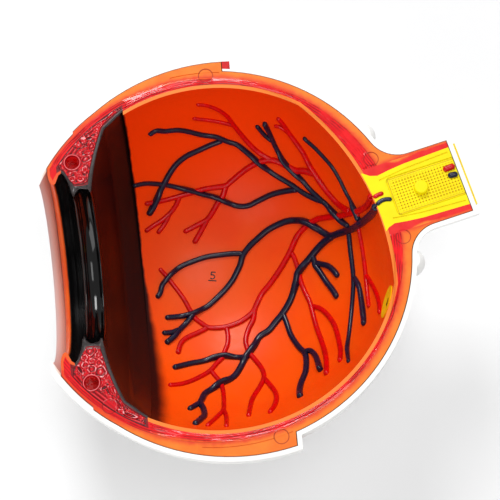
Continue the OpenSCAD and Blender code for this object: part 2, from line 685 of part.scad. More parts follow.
seat_lift = 0.06;                             // keeps a vessel's flat foot clear of the bowl
function vessel_line(r) = [for (q = route(r)) on_bowl(route_k * q, seat_lift)];
function stretches(tree) = [for (b = tree) let (l = vessel_line(b[1]))
    for (i = [0:len(l) - 2]) [l[i], l[i + 1]]];
artery_lines = concat(stretches(arteries_1), stretches(arteries_2), stretches(arteries_3),
    stretches(arteries_4));
function away(s, g) = let (d = g[1] - g[0], t = min(1, max(0, (s - g[0]) * d / (d * d))))
    norm(s - g[0] - t * d);

// where a vein crosses an artery it rises over it
cross_near = 2.4;
cross_far = 5;
function ramp(d) = let (t = min(1, max(0, (cross_far - d) / (cross_far - cross_near)))) t * t * (3 - 2 * t);
function rise(s) = (vessel_h + 0.2) * ramp(min([for (g = artery_lines) away(s, g)]));

// half-round ridge swept along points s with normals m: 6 points a ring, rounded ends
ring_n = 6;
module ridge(s, m, half_w, h, lift) {
    n = len(s);
    rings = [for (i = [-1:n])
        let (j = min(max(i, 0), n - 1),
            t = unit(s[min(j + 1, n - 1)] - s[max(j - 1, 0)]),
            side = unit(cross(t, m[j])),
            share = i < 0 || i > n - 1 ? 0.5 : 1,
            base = s[j] + m[j] * (lift[j] + (j == 0 ? 0.15 : 0)) + (i < 0 ? -0.4 : i > n - 1 ? 0.4 : 0) * t)
        [for (a = [0:ring_n - 1]) let (f = 180 * a / (ring_n - 1))
            base - side * half_w[j] * share * cos(f) + m[j] * h * share * sin(f)]];
    last = len(rings) - 1;
    polyhedron([for (g = rings) each g], concat(
        [[for (a = [0:ring_n - 1]) a]],
        [for (i = [0:last - 1], a = [0:ring_n - 1]) let (b = (a + 1) % ring_n)
            each [[i * ring_n + a, (i + 1) * ring_n + a, (i + 1) * ring_n + b],
                [i * ring_n + a, (i + 1) * ring_n + b, i * ring_n + b]]],
        [[for (a = [ring_n - 1:-1:0]) last * ring_n + a]]), convexity = 8);
}

// vessel of the bowl, tapering along its route
module vessel(points, width, over) {
    s = vessel_line(points);
    n = len(s);
    ridge(s, [for (k = s) bowl_n(k)],
        [for (j = [0:n - 1]) max(vessel_tip_w, vessel_w * width * (1 - 0.25 * j / n))],
        vessel_h, [for (k = s) over ? rise(k) : 0]);
}

module vessel_tree(tree, over) place() for (b = tree) vessel(b[1], b[0], over);

module arteries_temporal() color("red") vessel_tree(arteries_1, false);
module arteries_macular() color("red") vessel_tree(arteries_2, false);
module arteries_nasal() color("red") vessel_tree(arteries_3, false);
module arteries_posterior() color("red") vessel_tree(arteries_4, false);
module veins_temporal() color("midnightblue") vessel_tree(veins_1, true);
module veins_macular() color("midnightblue") vessel_tree(veins_2, true);
module veins_nasal() color("midnightblue") vessel_tree(veins_3, true);
module veins_posterior() color("midnightblue") vessel_tree(veins_4, true);

sclera_shell();
nerve_end_disc();
medial_rectus_end();
lateral_rectus_end();
inferior_rectus();
inferior_rectus_end();
inferior_oblique();
inferior_oblique_end();
vortex_vein_nasal();
vortex_vein_temporal();
sclera_section();
choroid();
retina();
ciliary_body();
ciliary_section_nasal();
ciliary_section_temporal();
pigment_layer();
limbus_ring();
nerve_sheath();
nerve_core();
nerve_pad();
nerve_peg();
central_artery();
central_vein();
nerve_artery_end();
nerve_vein_end();
macula();
arteries_temporal();
arteries_macular();
arteries_nasal();
arteries_posterior();
veins_temporal();
veins_macular();
veins_nasal();
veins_posterior();
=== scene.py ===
"""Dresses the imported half-eye teaching model: painted layers, moulded vessels, relief and studio.

All shapes are worked out in the eye's own frame, in millimetres: the globe's centre is the origin,
the cut face is z = 0, the front of the eye points to -X and the nose side to +Y. They are moved to
the frame's metres only when a mesh is made.
"""

from __future__ import annotations

import logging
import math
from dataclasses import dataclass, field
from enum import Enum
from functools import reduce

import bpy
import numpy as np
from mathutils import Matrix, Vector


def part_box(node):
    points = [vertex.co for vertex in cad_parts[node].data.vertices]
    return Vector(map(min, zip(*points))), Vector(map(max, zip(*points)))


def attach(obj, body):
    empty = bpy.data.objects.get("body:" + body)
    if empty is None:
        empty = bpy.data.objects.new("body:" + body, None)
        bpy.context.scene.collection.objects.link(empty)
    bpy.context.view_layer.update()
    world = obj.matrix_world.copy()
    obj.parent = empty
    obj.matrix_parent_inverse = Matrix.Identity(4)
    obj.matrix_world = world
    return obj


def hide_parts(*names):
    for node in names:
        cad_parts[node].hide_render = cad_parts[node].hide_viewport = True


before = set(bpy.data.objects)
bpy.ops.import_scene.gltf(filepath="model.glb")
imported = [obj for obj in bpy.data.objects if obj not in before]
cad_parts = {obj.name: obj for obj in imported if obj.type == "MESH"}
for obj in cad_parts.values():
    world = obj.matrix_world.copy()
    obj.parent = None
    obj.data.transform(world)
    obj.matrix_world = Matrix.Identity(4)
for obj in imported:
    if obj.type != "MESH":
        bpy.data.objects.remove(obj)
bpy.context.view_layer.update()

LOG = logging.getLogger("eye_model")

MM_PER_M = 1000.0

Colour = tuple[float, float, float]
Point = tuple[float, float, float]
Plan = tuple[float, float]
Band = tuple[float, float]
Mesh = tuple[np.ndarray, list[list[int]]]
Socket = bpy.types.NodeSocket


class Body(Enum):
    """The two bodies that come apart."""

    SHELL = "sclera_half"
    INSERT = "inner_half"


class Blood(Enum):
    """The two kinds of vessel, with the paint and a material slot name for each."""

    ARTERY = ("artery_red", "artery_red")
    VEIN = ("vein_navy", "vein_blue")

    def __init__(self, paint: str, slot: str) -> None:
        """Names what the member stands for.

        Args:
            paint: the finish.
            slot: a material slot name; it is stored but not used.
        """
        self.paint = paint
        self.slot = slot


# ----------------------------------------------------------------------------- sizes


@dataclass(frozen=True)
class Globe:
    """Sizes of the globe that the pieces are fitted to, in millimetres."""

    lip: float = math.sqrt(71.8**2 - 38.2**2)
    peg_height: float = 2.0
    bowl_radius: float = 63.5
    bowl_centre: tuple[float, float, float] = (0.9, 0.0, 0.0)
    fundus_radius: float = 93.4
    fundus_reach: float = 34.3
    fundus_angle: float = math.radians(21.2)
    choroid_radius: float = 67.7
    choroid_shift: float = 0.9
    ciliary_radius: float = 66.6
    axis_y: float = 1.0
    nerve_angle: float = math.radians(13.25)
    nerve_end: float = 92.2
    sheath_radius: float = 13.1
    pad_length: float = 25.5
    pad_width: float = 14.5
    peg_along: float = 77.7
    peg_radius: float = 2.5
    socket_radius: float = 2.4
    mark_radius: float = 2.6
    sockets: tuple[Plan, ...] = ((-48.295, 39.829), (-47.195, -42.11))
    marks: tuple[Plan, ...] = ((-41.47, -51.02), (17.2, -67.49), (67.35, 0.35), (59.05, 30.48), (2.51, 68.4))

    @property
    def choroid_centre(self) -> Point:
        """Centre of the vascular layer's outer sphere."""
        return (-self.choroid_shift, 0.0, 0.0)

    @property
    def nerve_axes(self) -> tuple[Point, Point]:
        """Directions along the nerve and across it, in the cut face."""
        c, s = math.cos(self.nerve_angle), math.sin(self.nerve_angle)
        return (c, s, 0.0), (-s, c, 0.0)

    def fundus_centre(self) -> np.ndarray:
        """Centre of the bowl's flatter part: the reach back from the bowl's centre, along its angle."""
        way = np.array([math.cos(self.fundus_angle), math.sin(self.fundus_angle), 0.0])
        return np.array(self.bowl_centre) - self.fundus_reach * way

    def place(self) -> np.ndarray:
        """Where the globe's centre lies in the frame, in millimetres, read from the CAD boxes."""
        low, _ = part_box("sclera_shell")
        _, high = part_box("nerve_peg")
        return np.array([low[0] * MM_PER_M + self.lip, 0.0, high[2] * MM_PER_M - self.peg_height])


GLOBE = Globe()
PLACE = GLOBE.place()


# ----------------------------------------------------------------------------- mesh tools


def smoothstep(value: np.ndarray, low: float, high: float) -> np.ndarray:
    """Goes smoothly from 0 at low to 1 at high: 3t squared minus 2t cubed of the clamped share t.

    Args:
        value: the numbers to map.
        low: where the ramp starts.
        high: where the ramp ends.

    Returns:
        The ramp's value for each number.
    """
    share = np.clip((value - low) / (high - low), 0.0, 1.0)
    return share * share * (3.0 - 2.0 * share)


def bell(value: np.ndarray, middle: float, width: float) -> np.ndarray:
    """Bell curve of height 1: the exponential of minus the square of the way from middle over width."""
    return np.exp(-(((value - middle) / width) ** 2))


def unit(vectors: np.ndarray) -> np.ndarray:
    """Each row divided by its own length."""
    return vectors / np.maximum(np.linalg.norm(vectors, axis=-1, keepdims=True), 1e-9)


def grid_faces(rows: int, columns: int, wrap: bool = False) -> np.ndarray:
    """Quads of a grid of rows by columns points, numbered row by row.

    Args:
        rows: number of rows.
        columns: points in a row.
        wrap: joins the last point of each row to its first.

    Returns:
        An array of four point numbers for each quad.
    """
    across = columns if wrap else columns - 1
    row, column = np.meshgrid(np.arange(rows - 1), np.arange(across), indexing="ij")
    beside = (column + 1) % columns
    first = row * columns
    quads = np.stack([first + column, first + beside, first + columns + beside, first + columns + column], -1)
    return quads.reshape(-1, 4)


def make_piece(
    name: str,
    points: np.ndarray,
    faces: list[list[int]],
    body: Body,
    material: bpy.types.Material,
) -> bpy.types.Object:
    """Makes a smooth mesh object from points in the eye's frame and lets it ride on a body.

    Args:
        name: the piece's name.
        points: points in millimetres, in the eye's frame.
        faces: point numbers of each face, facing outward.
        body: the body that carries the piece.
        material: its finish.

    Returns:
        The new object.
    """
    mesh = bpy.data.meshes.new(name)
    mesh.from_pydata(((points + PLACE) / MM_PER_M).tolist(), [], faces)
    mesh.polygons.foreach_set("use_smooth", np.ones(len(mesh.polygons), dtype=bool))
    mesh.materials.append(material)
    mesh.update()
    piece = bpy.data.objects.new(name, mesh)
    bpy.context.scene.collection.objects.link(piece)
    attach(piece, body.value)
    LOG.info("%s: %d faces", name, len(faces))
    return piece


def tint_relief(piece: bpy.types.Object, height: np.ndarray) -> None:
    """Stores a number from 0 to 1 for each point, for the paint to read: a relief's height, or a tone of
    painted shade.

    Args:
        piece: the object.
        height: one number for each point.
    """
    tone = piece.data.attributes.new("relief", "FLOAT", "POINT")
    tone.data.foreach_set("value", height.astype(np.float32).ravel())


def lathe(radii: np.ndarray, heights: np.ndarray, turns: int = 72) -> Mesh:
    """Turns a profile about Z: each profile point goes round a circle of its own radius.

    Args:
        radii: radius of each profile point, from the top centre outward and down.
        heights: height of each profile point.
        turns: points in each circle.

    Returns:
        Points and faces, facing outward.
    """
    angle = np.linspace(0, 2 * np.pi, turns, endpoint=False)
    ring = np.stack([np.cos(angle), np.sin(angle)], -1)
    flat = radii[:, None, None] * ring[None]
    level = np.broadcast_to(heights[:, None, None], (len(radii), turns, 1))
    points = np.concatenate([flat, level], -1)
    quads = grid_faces(len(radii), turns, wrap=True)[:, ::-1]
    return points.reshape(-1, 3), quads.tolist()


def joined(parts: list[Mesh]) -> Mesh:
    """Joins meshes into one: each one's point numbers move up by the count of points before it.

    Args:
        parts: points and faces of each mesh.

    Returns:
        Points and faces of all of them.
    """
    faces: list[list[int]] = []
    count = 0
    for points, own in parts:
        faces += [[number + count for number in face] for face in own]
        count += len(points)
    return np.vstack([points for points, _ in parts]), faces


def swept(line: np.ndarray, up: np.ndarray, across: np.ndarray, upward: np.ndarray) -> Mesh:
    """Sweeps a ring along a line and closes each end with one face.

    A ring's point is the line's point, plus across times the direction square to the line and to
    up, plus upward times up.

    Args:
        line: points of the line.
        up: unit direction away from the ground at each of them.
        across: sideways place of each ring point, a row for each ring.
        upward: height of each ring point, a row for each ring.

    Returns:
        Points and faces, facing outward.
    """
    side = unit(np.cross(unit(np.gradient(line, axis=0)), up))
    points = line[:, None, :] + side[:, None, :] * across[:, :, None] + up[:, None, :] * upward[:, :, None]
    rows, columns = points.shape[:2]
    quads = grid_faces(rows, columns, wrap=True)[:, ::-1].tolist()
    first = list(range(columns))
    last = list(range(rows * columns - 1, (rows - 1) * columns - 1, -1))
    return points.reshape(-1, 3), [*quads, first, last]


def round_ends(at: np.ndarray, length: float, tip: float) -> np.ndarray:
    """Share of full width along a vessel: a circle's chord over the tip's length at both ends.

    Args:
        at: lengths along the vessel.
        length: its whole length.
        tip: radius of the circle.

    Returns:
        A share from 0 to 1 for each length.
    """
    edge = np.clip(np.minimum(at, length - at) / tip, 0.0, 1.0)
    return np.sqrt(np.maximum(1.0 - (1.0 - edge) ** 2, 0.0))


# ----------------------------------------------------------------------------- bowl surface


@dataclass(frozen=True)
class BowlSurface:
    """Inside of the bowl: the part of two spheres that lies inside both."""

    globe: Globe = GLOBE

    def points(self, plan: np.ndarray) -> np.ndarray:
        """Drops plan points on the bowl: the higher of the two spheres' lower halves.

        Args:
            plan: rows of x and y.

        Returns:
            Rows of x, y and z.
        """
        depths = []
        for centre, radius in self.spheres():
            flat = np.sum((plan - centre[:2]) ** 2, axis=-1)
            depths.append(-np.sqrt(np.maximum(radius * radius - flat, 0.0)))
        return np.concatenate([plan, np.maximum(*depths)[:, None]], -1)

    def normals(self, points: np.ndarray) -> np.ndarray:
        """Inward normal at each point: towards the centre of the sphere that is nearer its wall,
        blended over 2 mm where the two spheres meet."""
        (near_c, near_r), (far_c, far_r) = self.spheres()
        near_gap = near_r - np.linalg.norm(points - near_c, axis=-1)
        far_gap = far_r - np.linalg.norm(points - far_c, axis=-1)
        share = smoothstep(near_gap - far_gap, -1.0, 1.0)[:, None]
        return unit((1 - share) * unit(near_c - points) + share * unit(far_c - points))

    def spheres(self) -> list[tuple[np.ndarray, float]]:
        """Centre and radius of the globe's bowl and of its flatter part."""
        g = self.globe
        return [(np.array(g.bowl_centre), g.bowl_radius), (g.fundus_centre(), g.fundus_radius)]


BOWL = BowlSurface()


def spline(route: np.ndarray, steps: int = 10) -> np.ndarray:
    """Passes a Catmull-Rom cubic through the points of a route, whole array at once.

    Args:
        route: rows of x and y.
        steps: samples in each stretch.

    Returns:
        The sampled curve.
    """
    padded = np.vstack([2 * route[0] - route[1], route, 2 * route[-1] - route[-2]])
    a, b, c, d = (padded[i : len(padded) - 3 + i][:, None, :] for i in range(4))
    t = (np.arange(steps) / steps)[None, :, None]
    curve = b + 0.5 * t * (c - a + t * (2 * a - 5 * b + 4 * c - d + t * (3 * (b - c) + d - a)))
    return np.vstack([curve.reshape(-1, route.shape[1]), route[-1:]])


def resample(curve: np.ndarray, at: np.ndarray) -> np.ndarray:
    """Points of a curve at the given lengths along it, by straight interpolation."""
    length = np.concatenate([[0.0], np.cumsum(np.linalg.norm(np.diff(curve, axis=0), axis=1))])
    return np.stack([np.interp(at, length, curve[:, k]) for k in range(curve.shape[1])], -1)


def curve_length(curve: np.ndarray) -> float:
    """Length of a polyline."""
    return float(np.linalg.norm(np.diff(curve, axis=0), axis=1).sum())


def bezier(a: Plan, b: Plan, c: Plan, steps: int) -> np.ndarray:
    """Points of a quadratic Bezier curve: (1-t)^2 a + 2t(1-t) b + t^2 c."""
    start, pull, end = np.array(a), np.array(b), np.array(c)
    t = np.linspace(0, 1, steps)[:, None]
    return (1 - t) ** 2 * start + 2 * t * (1 - t) * pull + t * t * end


# ----------------------------------------------------------------------------- materials


def linear(colour: Colour) -> tuple[float, float, float, float]:
    """Scene-linear value of a colour written as it looks on screen, from 0 to 1."""
    return tuple(c / 12.92 if c <= 0.04045 else ((c + 0.055) / 1.055) ** 2.4 for c in colour) + (1.0,)


class NodeBench:
    """Builds one material's nodes, with the eye's own coordinates in millimetres at hand.

    The colour, gloss and normal of the paint are kept here while its layers are laid.
    """

    def __init__(self, name: str) -> None:
        """Makes an empty node material.

        Args:
            name: the material's name.
        """
        self.material = bpy.data.materials.new(name)
        self.material.use_nodes = True
        self.tree = self.material.node_tree
        self.tree.nodes.clear()
        texture = self.node("ShaderNodeTexCoord")
        large = self.vector("MULTIPLY", texture.outputs["Object"], (MM_PER_M, MM_PER_M, MM_PER_M))
        self.eye = self.vector("SUBTRACT", large, tuple(PLACE))
        parts = self.node("ShaderNodeSeparateXYZ")
        self.feed(parts.inputs[0], self.eye)
        self.x, self.y, self.z = parts.outputs
        self.colour: object = (1.0, 1.0, 1.0)
        self.gloss: object = 0.5
        self.normal: Socket | None = None

    def node(self, kind: str, **settings: object) -> bpy.types.Node:
        """Adds a node and sets its options."""
        made = self.tree.nodes.new(kind)
        for key, value in settings.items():
            setattr(made, key, value)
        return made

    def feed(self, socket: Socket, value: object) -> None:
        """Links a socket to the value, or writes it there when it is a plain number or colour."""
        if isinstance(value, bpy.types.NodeSocket):
            self.tree.links.new(value, socket)
        else:
            socket.default_value = value

    def math(self, operation: str, a: object, b: object = 0.0) -> Socket:
        """One Math node."""
        made = self.node("ShaderNodeMath", operation=operation)
        self.feed(made.inputs[0], a)
        self.feed(made.inputs[1], b)
        return made.outputs[0]

    def times(self, *factors: object) -> Socket:
        """Product of numbers."""
        return reduce(lambda a, b: self.math("MULTIPLY", a, b), factors)

    def plus(self, *terms: object) -> Socket:
        """Sum of numbers."""
        return reduce(lambda a, b: self.math("ADD", a, b), terms)

    def minus(self, a: object, b: object) -> Socket:
        """First number less the second."""
        return self.math("SUBTRACT", a, b)

    def size(self, value: object) -> Socket:
        """The number without its sign."""
        return self.math("ABSOLUTE", value)

    def vector(self, operation: str, a: object, b: object) -> Socket:
        """One Vector Math node; a distance or a dot product comes out as a number."""
        made = self.node("ShaderNodeVectorMath", operation=operation)
        self.feed(made.inputs[0], a)
        self.feed(made.inputs[1], b)
        return made.outputs["Value" if operation in ("DISTANCE", "DOT_PRODUCT") else "Vector"]

    def off(self, point: Point, radius: float = 0.0) -> Socket:
        """Distance from a point, less a radius: the way outside a sphere."""
        distance = self.vector("DISTANCE", self.eye, point)
        return self.minus(distance, radius) if radius else distance

    def nerve(self) -> tuple[Socket, Socket]:
        """Way along the nerve from the eye's centre, and way beside the nerve's axis."""
        along, across = (self.vector("DOT_PRODUCT", self.eye, axis) for axis in GLOBE.nerve_axes)
        return along, self.size(across)

    def ramp(self, value: object, low: float, high: float, start: float = 0.0, end: float = 1.0) -> Socket:
        """Smooth map of low..high to start..end."""
        made = self.node("ShaderNodeMapRange", interpolation_type="SMOOTHSTEP")
        keys = ("Value", "From Min", "From Max", "To Min", "To Max")
        for key, number in zip(keys, (value, low, high, start, end)):
            self.feed(made.inputs[key], number)
        return made.outputs["Result"]

    def mix(self, share: object, a: object, b: object) -> Socket:
        """Mixes two colours, given as sockets or as screen colours."""
        made = self.node("ShaderNodeMix", data_type="RGBA")
        self.feed(made.inputs[0], share)
        for socket, value in ((made.inputs[6], a), (made.inputs[7], b)):
            self.feed(socket, linear(value) if isinstance(value, tuple) else value)
        return made.outputs[2]

    def lay(self, share: object, colour: object) -> None:
        """Lays a colour over the paint, by a share from 0 to 1."""
        self.colour = self.mix(share, self.colour, colour)

    def noise(
        self, scale: float, detail: float = 3.0, distortion: float = 0.0, where: Socket | None = None
    ) -> Socket:
        """Noise from 0 to 1 on the eye's millimetres, or on other coordinates.

        Args:
            scale: waves per millimetre.
            detail: number of finer layers.
            distortion: how much it is bent.
            where: the other coordinates.

        Returns:
            The noise.
        """
        made = self.node("ShaderNodeTexNoise")
        self.feed(made.inputs["Vector"], self.eye if where is None else where)
        for key, value in (("Scale", scale), ("Detail", detail), ("Distortion", distortion)):
            self.feed(made.inputs[key], value)
        return made.outputs[0]

    def ragged(self, scale: float, detail: float, width: float) -> Socket:
        """Noise about zero, for a ragged border: width times the noise less a half."""
        return self.times(self.minus(self.noise(scale, detail), 0.5), width)

    def bump(self, height: Socket, depth_mm: float, strength: float = 1.0) -> None:
        """Presses a height from 0 to 1 over depth_mm into the paint's normal."""
        made = self.node("ShaderNodeBump")
        self.feed(made.inputs["Strength"], strength)
        self.feed(made.inputs["Distance"], depth_mm / MM_PER_M)
        self.feed(made.inputs["Height"], height)
        if self.normal is not None:
            self.feed(made.inputs["Normal"], self.normal)
        self.normal = made.outputs[0]

    def finish(self, coat: float, coat_roughness: float, specular: float) -> bpy.types.Material:
        """Closes the material with a Principled shader.

        Args:
            coat: weight of the gloss coat.
            coat_roughness: roughness of the coat.
            specular: specular level of the paint.

        Returns:
            The finished material.
        """
        shader = self.node("ShaderNodeBsdfPrincipled")
        for key, value in (
            ("Base Color", self.colour),
            ("Roughness", self.gloss),
            ("Normal", self.normal),
            ("Coat Weight", coat),
            ("Coat Roughness", coat_roughness),
            ("Specular IOR Level", specular),
        ):
            self.feed(shader.inputs[key], value)
        self.feed(self.node("ShaderNodeOutputMaterial").inputs[0], shader.outputs[0])
        return self.material


@dataclass(frozen=True)
class Paint:
    """A brushed or sprayed paint on moulded plastic.

    The patch is the waves of cloudiness per millimetre, the grain the depth of the orange peel.
    """

    name: str
    colour: Colour
    shade: Colour
    roughness: Band = (0.34, 0.48)
    coat: float = 0.12
    grain_mm: float = 0.012
    patch: float = 0.12
    specular: float = 0.35
    coat_roughness: float = 0.1

    def build(self) -> bpy.types.Material:
        """Lays a cloudy colour, an uneven gloss and a fine orange peel, then the finish's own layers."""
        bench = NodeBench(self.name)
        cloud = bench.ramp(bench.noise(self.patch, 4.0, 0.3), 0.35, 0.7)
        bench.colour = bench.mix(cloud, self.colour, self.shade)
        bench.gloss = bench.ramp(bench.noise(0.5, 5.0), 0.3, 0.7, *self.roughness)
        bench.bump(bench.noise(1.6, 4.0), self.grain_mm, 0.6)
        self.layer(bench)
        return bench.finish(self.coat, self.coat_roughness, self.specular)

    def layer(self, bench: NodeBench) -> None:
        """Adds what is the finish's own; a plain paint has nothing more.

        Args:
            bench: the material's bench.
        """


@dataclass(frozen=True)
class ShellPaint(Paint):
    """White shell, tinted inside with painted shade and reflected orange light, and a little overspray."""

    overspray_and_shade: Colour = (0.90, 0.75, 0.67)
    strength: float = 0.9
    inside: Band = (69.8, 69.3)
    lip: Band = (-60.9, -58.0)

    def layer(self, bench: NodeBench) -> None:
        """Painted shade and reflected orange light, with a little overspray, tint the inside and fade out
        over the last millimetres of the front lip.
        """
        inside = bench.ramp(bench.off((0.0, 0.0, 0.0)), *self.inside)
        behind = bench.ramp(bench.x, *self.lip)
        # painted shade and reflected orange light, partly overspray, on the shell's inside
        bench.lay(bench.times(inside, behind, self.strength), self.overspray_and_shade)


@dataclass(frozen=True)
class FacePaint(Paint):
    """Paint of a layer that shows on the cut face, with the mould's round marks drawn in it."""

    line: Colour = (0.60, 0.08, 0.06)
    stroke: Band = (0.3, 0.08)
    ink: float = 0.65
    face: Band = (-0.5, -0.3)

    def circle_marks(self, bench: NodeBench) -> None:
        """Darkens a thin circle at each mark's radius, on the cut face only."""
        circles: object = 0.0
        for mark in GLOBE.marks:
            away = bench.size(bench.off((*mark, 0.0), GLOBE.mark_radius))
            circles = bench.math("MAXIMUM", circles, bench.ramp(away, *self.stroke, 0.0, self.ink))
        bench.lay(bench.times(circles, bench.ramp(bench.z, *self.face)), self.line)


@dataclass(frozen=True)
class ScleraPaint(FacePaint):
    """Orange cut face with red overspray along the vascular layer and the nerve."""

    spray: Colour = (0.88, 0.12, 0.13)
    front: Colour = (0.90, 0.21, 0.10)
    lip: Colour = (0.96, 0.40, 0.10)
    fade: Band = (2.0, -0.6)
    nerve_from: Band = (52.0, 56.0)

    def layer(self, bench: NodeBench) -> None:
        """The overspray fades over 2 ragged millimetres from the choroid sphere and from the nerve's
        sheath, whose distance is raised far up where the nerve hasn't begun. The front is redder."""
        far = 50.0
        off_ball = bench.off(GLOBE.choroid_centre, GLOBE.choroid_radius)
        off_nerve = bench.minus(bench.nerve()[1], GLOBE.sheath_radius)
        before = bench.minus(1.0, bench.ramp(bench.x, *self.nerve_from))
        off_nerve = bench.plus(off_nerve, bench.times(before, far))
        nearest = bench.math("MINIMUM", bench.size(off_ball), bench.size(off_nerve))
        reach = bench.plus(nearest, bench.ragged(0.35, 3.0, 1.8))
        bench.lay(bench.ramp(reach, *self.fade, 0.0, 0.85), self.spray)
        bench.lay(bench.ramp(bench.x, -30.0, -50.0, 0.0, 0.7), self.front)
        nose_lip = bench.times(bench.ramp(bench.x, -55.0, -56.6), bench.ramp(bench.y, 33.0, 35.0))
        bench.lay(nose_lip, self.lip)
        self.circle_marks(bench)


@dataclass(frozen=True)
class ChoroidPaint(FacePaint):
    """Glossy red layer with grooves along it, painted shade in the grooves, painted highlight patches and
    orange overspray outside.
    """

    roughness: Band = (0.4, 0.4)
    coat: float = 0.9
    coat_roughness: float = 0.05
    # colour of the painted shade in the grooves
    groove: Colour = (0.52, 0.0, 0.06)
    groove_waves: float = 7.0
    groove_depth: float = 0.25
    # colour of the painted highlight patches
    highlight_pale: Colour = (1.0, 0.62, 0.62)
    orange: Colour = (0.96, 0.45, 0.14)
    middle: Point = (-0.4, 0.0, 0.0)

    def layer(self, bench: NodeBench) -> None:
        """Grooves are waves of the distance from the globe's centre, darkened with painted shade; the painted
        highlights are noise that is drawn out along the layer, by using the turn about the centre and the
        distance from it, and are stronger on the temple side."""
        away = bench.off(self.middle)
        bent = bench.plus(away, bench.times(bench.noise(0.12, 2.0), 1.2))
        wave = bench.math("SINE", bench.times(bent, self.groove_waves))
        broken = bench.ramp(bench.noise(0.14, 2.0), 0.36, 0.6)
        crest = bench.times(bench.ramp(wave, 0.2, 0.98), broken)
        # painted shade: the grooves that the bump below presses in are darkened
        bench.lay(bench.times(crest, 0.6), self.groove)
        bench.bump(bench.minus(1.0, crest), self.groove_depth)
        drawn = bench.node("ShaderNodeCombineXYZ")
        turn = bench.math("ARCTAN2", bench.y, bench.x)
        bench.feed(drawn.inputs[0], bench.times(turn, 14.0))
        bench.feed(drawn.inputs[1], bench.times(away, 1.5))
        # painted highlights: light patches drawn out along the layer, stronger on the temple side
        sheen_patches = bench.ramp(bench.noise(0.9, 4.0, 0.4, drawn.outputs[0]), 0.62, 0.72, 0.0, 0.35)
        temple_side = bench.ramp(bench.y, 10.0, -30.0, 0.35, 1.0)
        bench.lay(bench.times(sheen_patches, temple_side), self.highlight_pale)
        self.circle_marks(bench)
        ragged = bench.plus(away, bench.times(bench.noise(0.3, 3.0), 1.6))
        outside = bench.ramp(ragged, 67.4, 68.8, 0.0, 0.7)
        bench.lay(bench.times(outside, bench.ramp(bench.x, -34.0, -20.0)), self.orange)


@dataclass(frozen=True)
class RetinaPaint(Paint):
    """Bowl paint with painted shade on the nose side, a painted soft highlight at its bottom, the black
    pigment sprayed over its front, and a light orange cut edge.
    """

    coat_roughness: float = 0.15
    edge: Colour = (0.99, 0.53, 0.22)
    # colour of the painted shade on the nose-side wall
    nose_side_shade: Colour = (1.0, 0.26, 0.0)
    # colour of the painted soft highlight at the bowl's bottom
    highlight_pale: Colour = (0.98, 0.44, 0.18)
    pigment: Colour = (0.16, 0.035, 0.027)
    pigment_line: float = -28.6
    cut: Band = (-0.06, -0.02)
    fillet: float = 8.0

    def layer(self, bench: NodeBench) -> None:
        """Painted shade gives the nose side a deeper red, for the wall that faces away from the key light,
        and a painted soft highlight lightens the bowl's bottom; the pigment's border widens from 0.8 mm at
        the nose side to 5.8 mm at the temple side."""
        # painted shade on the nose side
        bench.lay(bench.ramp(bench.y, 6.0, 60.0, 0.0, 0.95), self.nose_side_shade)
        # painted soft highlight round the bowl's bottom
        bench.lay(bench.ramp(bench.off((-8.0, 0.0, -62.0)), 36.0, 4.0, 0.0, 0.2), self.highlight_pale)
        temple_side = bench.ramp(bench.y, 20.0, -45.0)
        line = bench.plus(self.pigment_line, bench.times(temple_side, 1.8))
        reach = bench.minus(bench.plus(bench.x, bench.ragged(0.2, 4.0, 1.2)), line)
        width = bench.plus(0.8, bench.times(temple_side, 5.0))
        bench.lay(bench.ramp(bench.math("DIVIDE", reach, width), 1.0, 0.0), self.pigment)
        bench.lay(bench.ramp(bench.z, *self.cut), self.edge)
        self.ease(bench)

    def ease(self, bench: NodeBench) -> None:
        """Shades the line where the bowl's two spheres meet as a wide fillet.

        The gaps to the two spheres add up to the way from the line times the sine of the angle
        between their walls; the fillet's height falls with the exponential of that way.
        """
        (near_c, near_r), (far_c, far_r) = BOWL.spheres()
        apart = float(np.linalg.norm(near_c - far_c))
        between = math.acos((near_r**2 + far_r**2 - apart**2) / (2.0 * near_r * far_r))
        gaps = bench.size(bench.plus(bench.off(tuple(near_c), near_r), bench.off(tuple(far_c), far_r)))
        way = bench.math("DIVIDE", gaps, -self.fillet * math.sin(between))
        bench.bump(bench.math("EXPONENT", way), self.fillet * math.tan(between / 2.0))


@dataclass(frozen=True)
class PigmentPaint(Paint):
    """Black gloss in the lens seat, dark maroon on the wide slope, and on the cut face a light, colourless
    painted sheen, where the glossy black reflects the light.
    """

    maroon: Colour = (0.125, 0.03, 0.028)
    # colours of the painted sheen on the cut face, where the glossy black reflects the light
    sheen_grey: Colour = (0.27, 0.25, 0.25)
    dull_sheen_grey: Colour = (0.16, 0.15, 0.15)
    slope: Band = (-43.0, -41.2)
    cut: Band = (-0.06, -0.02)
    shine: Band = (0.09, 0.38)

    def layer(self, bench: NodeBench) -> None:
        """Warm and duller on the wide slope, with streaks round the lens axis, and a light, colourless
        painted sheen on the cut.
        """
        slope = bench.ramp(bench.x, *self.slope)
        round_axis = bench.vector("MULTIPLY", bench.eye, (1.0, 0.12, 0.12))
        streak = bench.ramp(bench.noise(0.5, 3.0, 0.0, round_axis), 0.25, 0.75, 0.7, 1.0)
        temple_side = bench.ramp(bench.y, 52.0, 10.0, 0.55, 1.0)
        bench.lay(bench.times(slope, temple_side, streak), self.maroon)
        # painted sheen on the cut face, in noisy patches of two tones
        sheen_patches = bench.ramp(bench.noise(1.2, 4.0), 0.45, 0.8)
        bench.lay(bench.ramp(bench.z, *self.cut), bench.mix(sheen_patches, self.sheen_grey, self.dull_sheen_grey))
        bench.gloss = bench.ramp(slope, 0.0, 1.0, *self.shine)


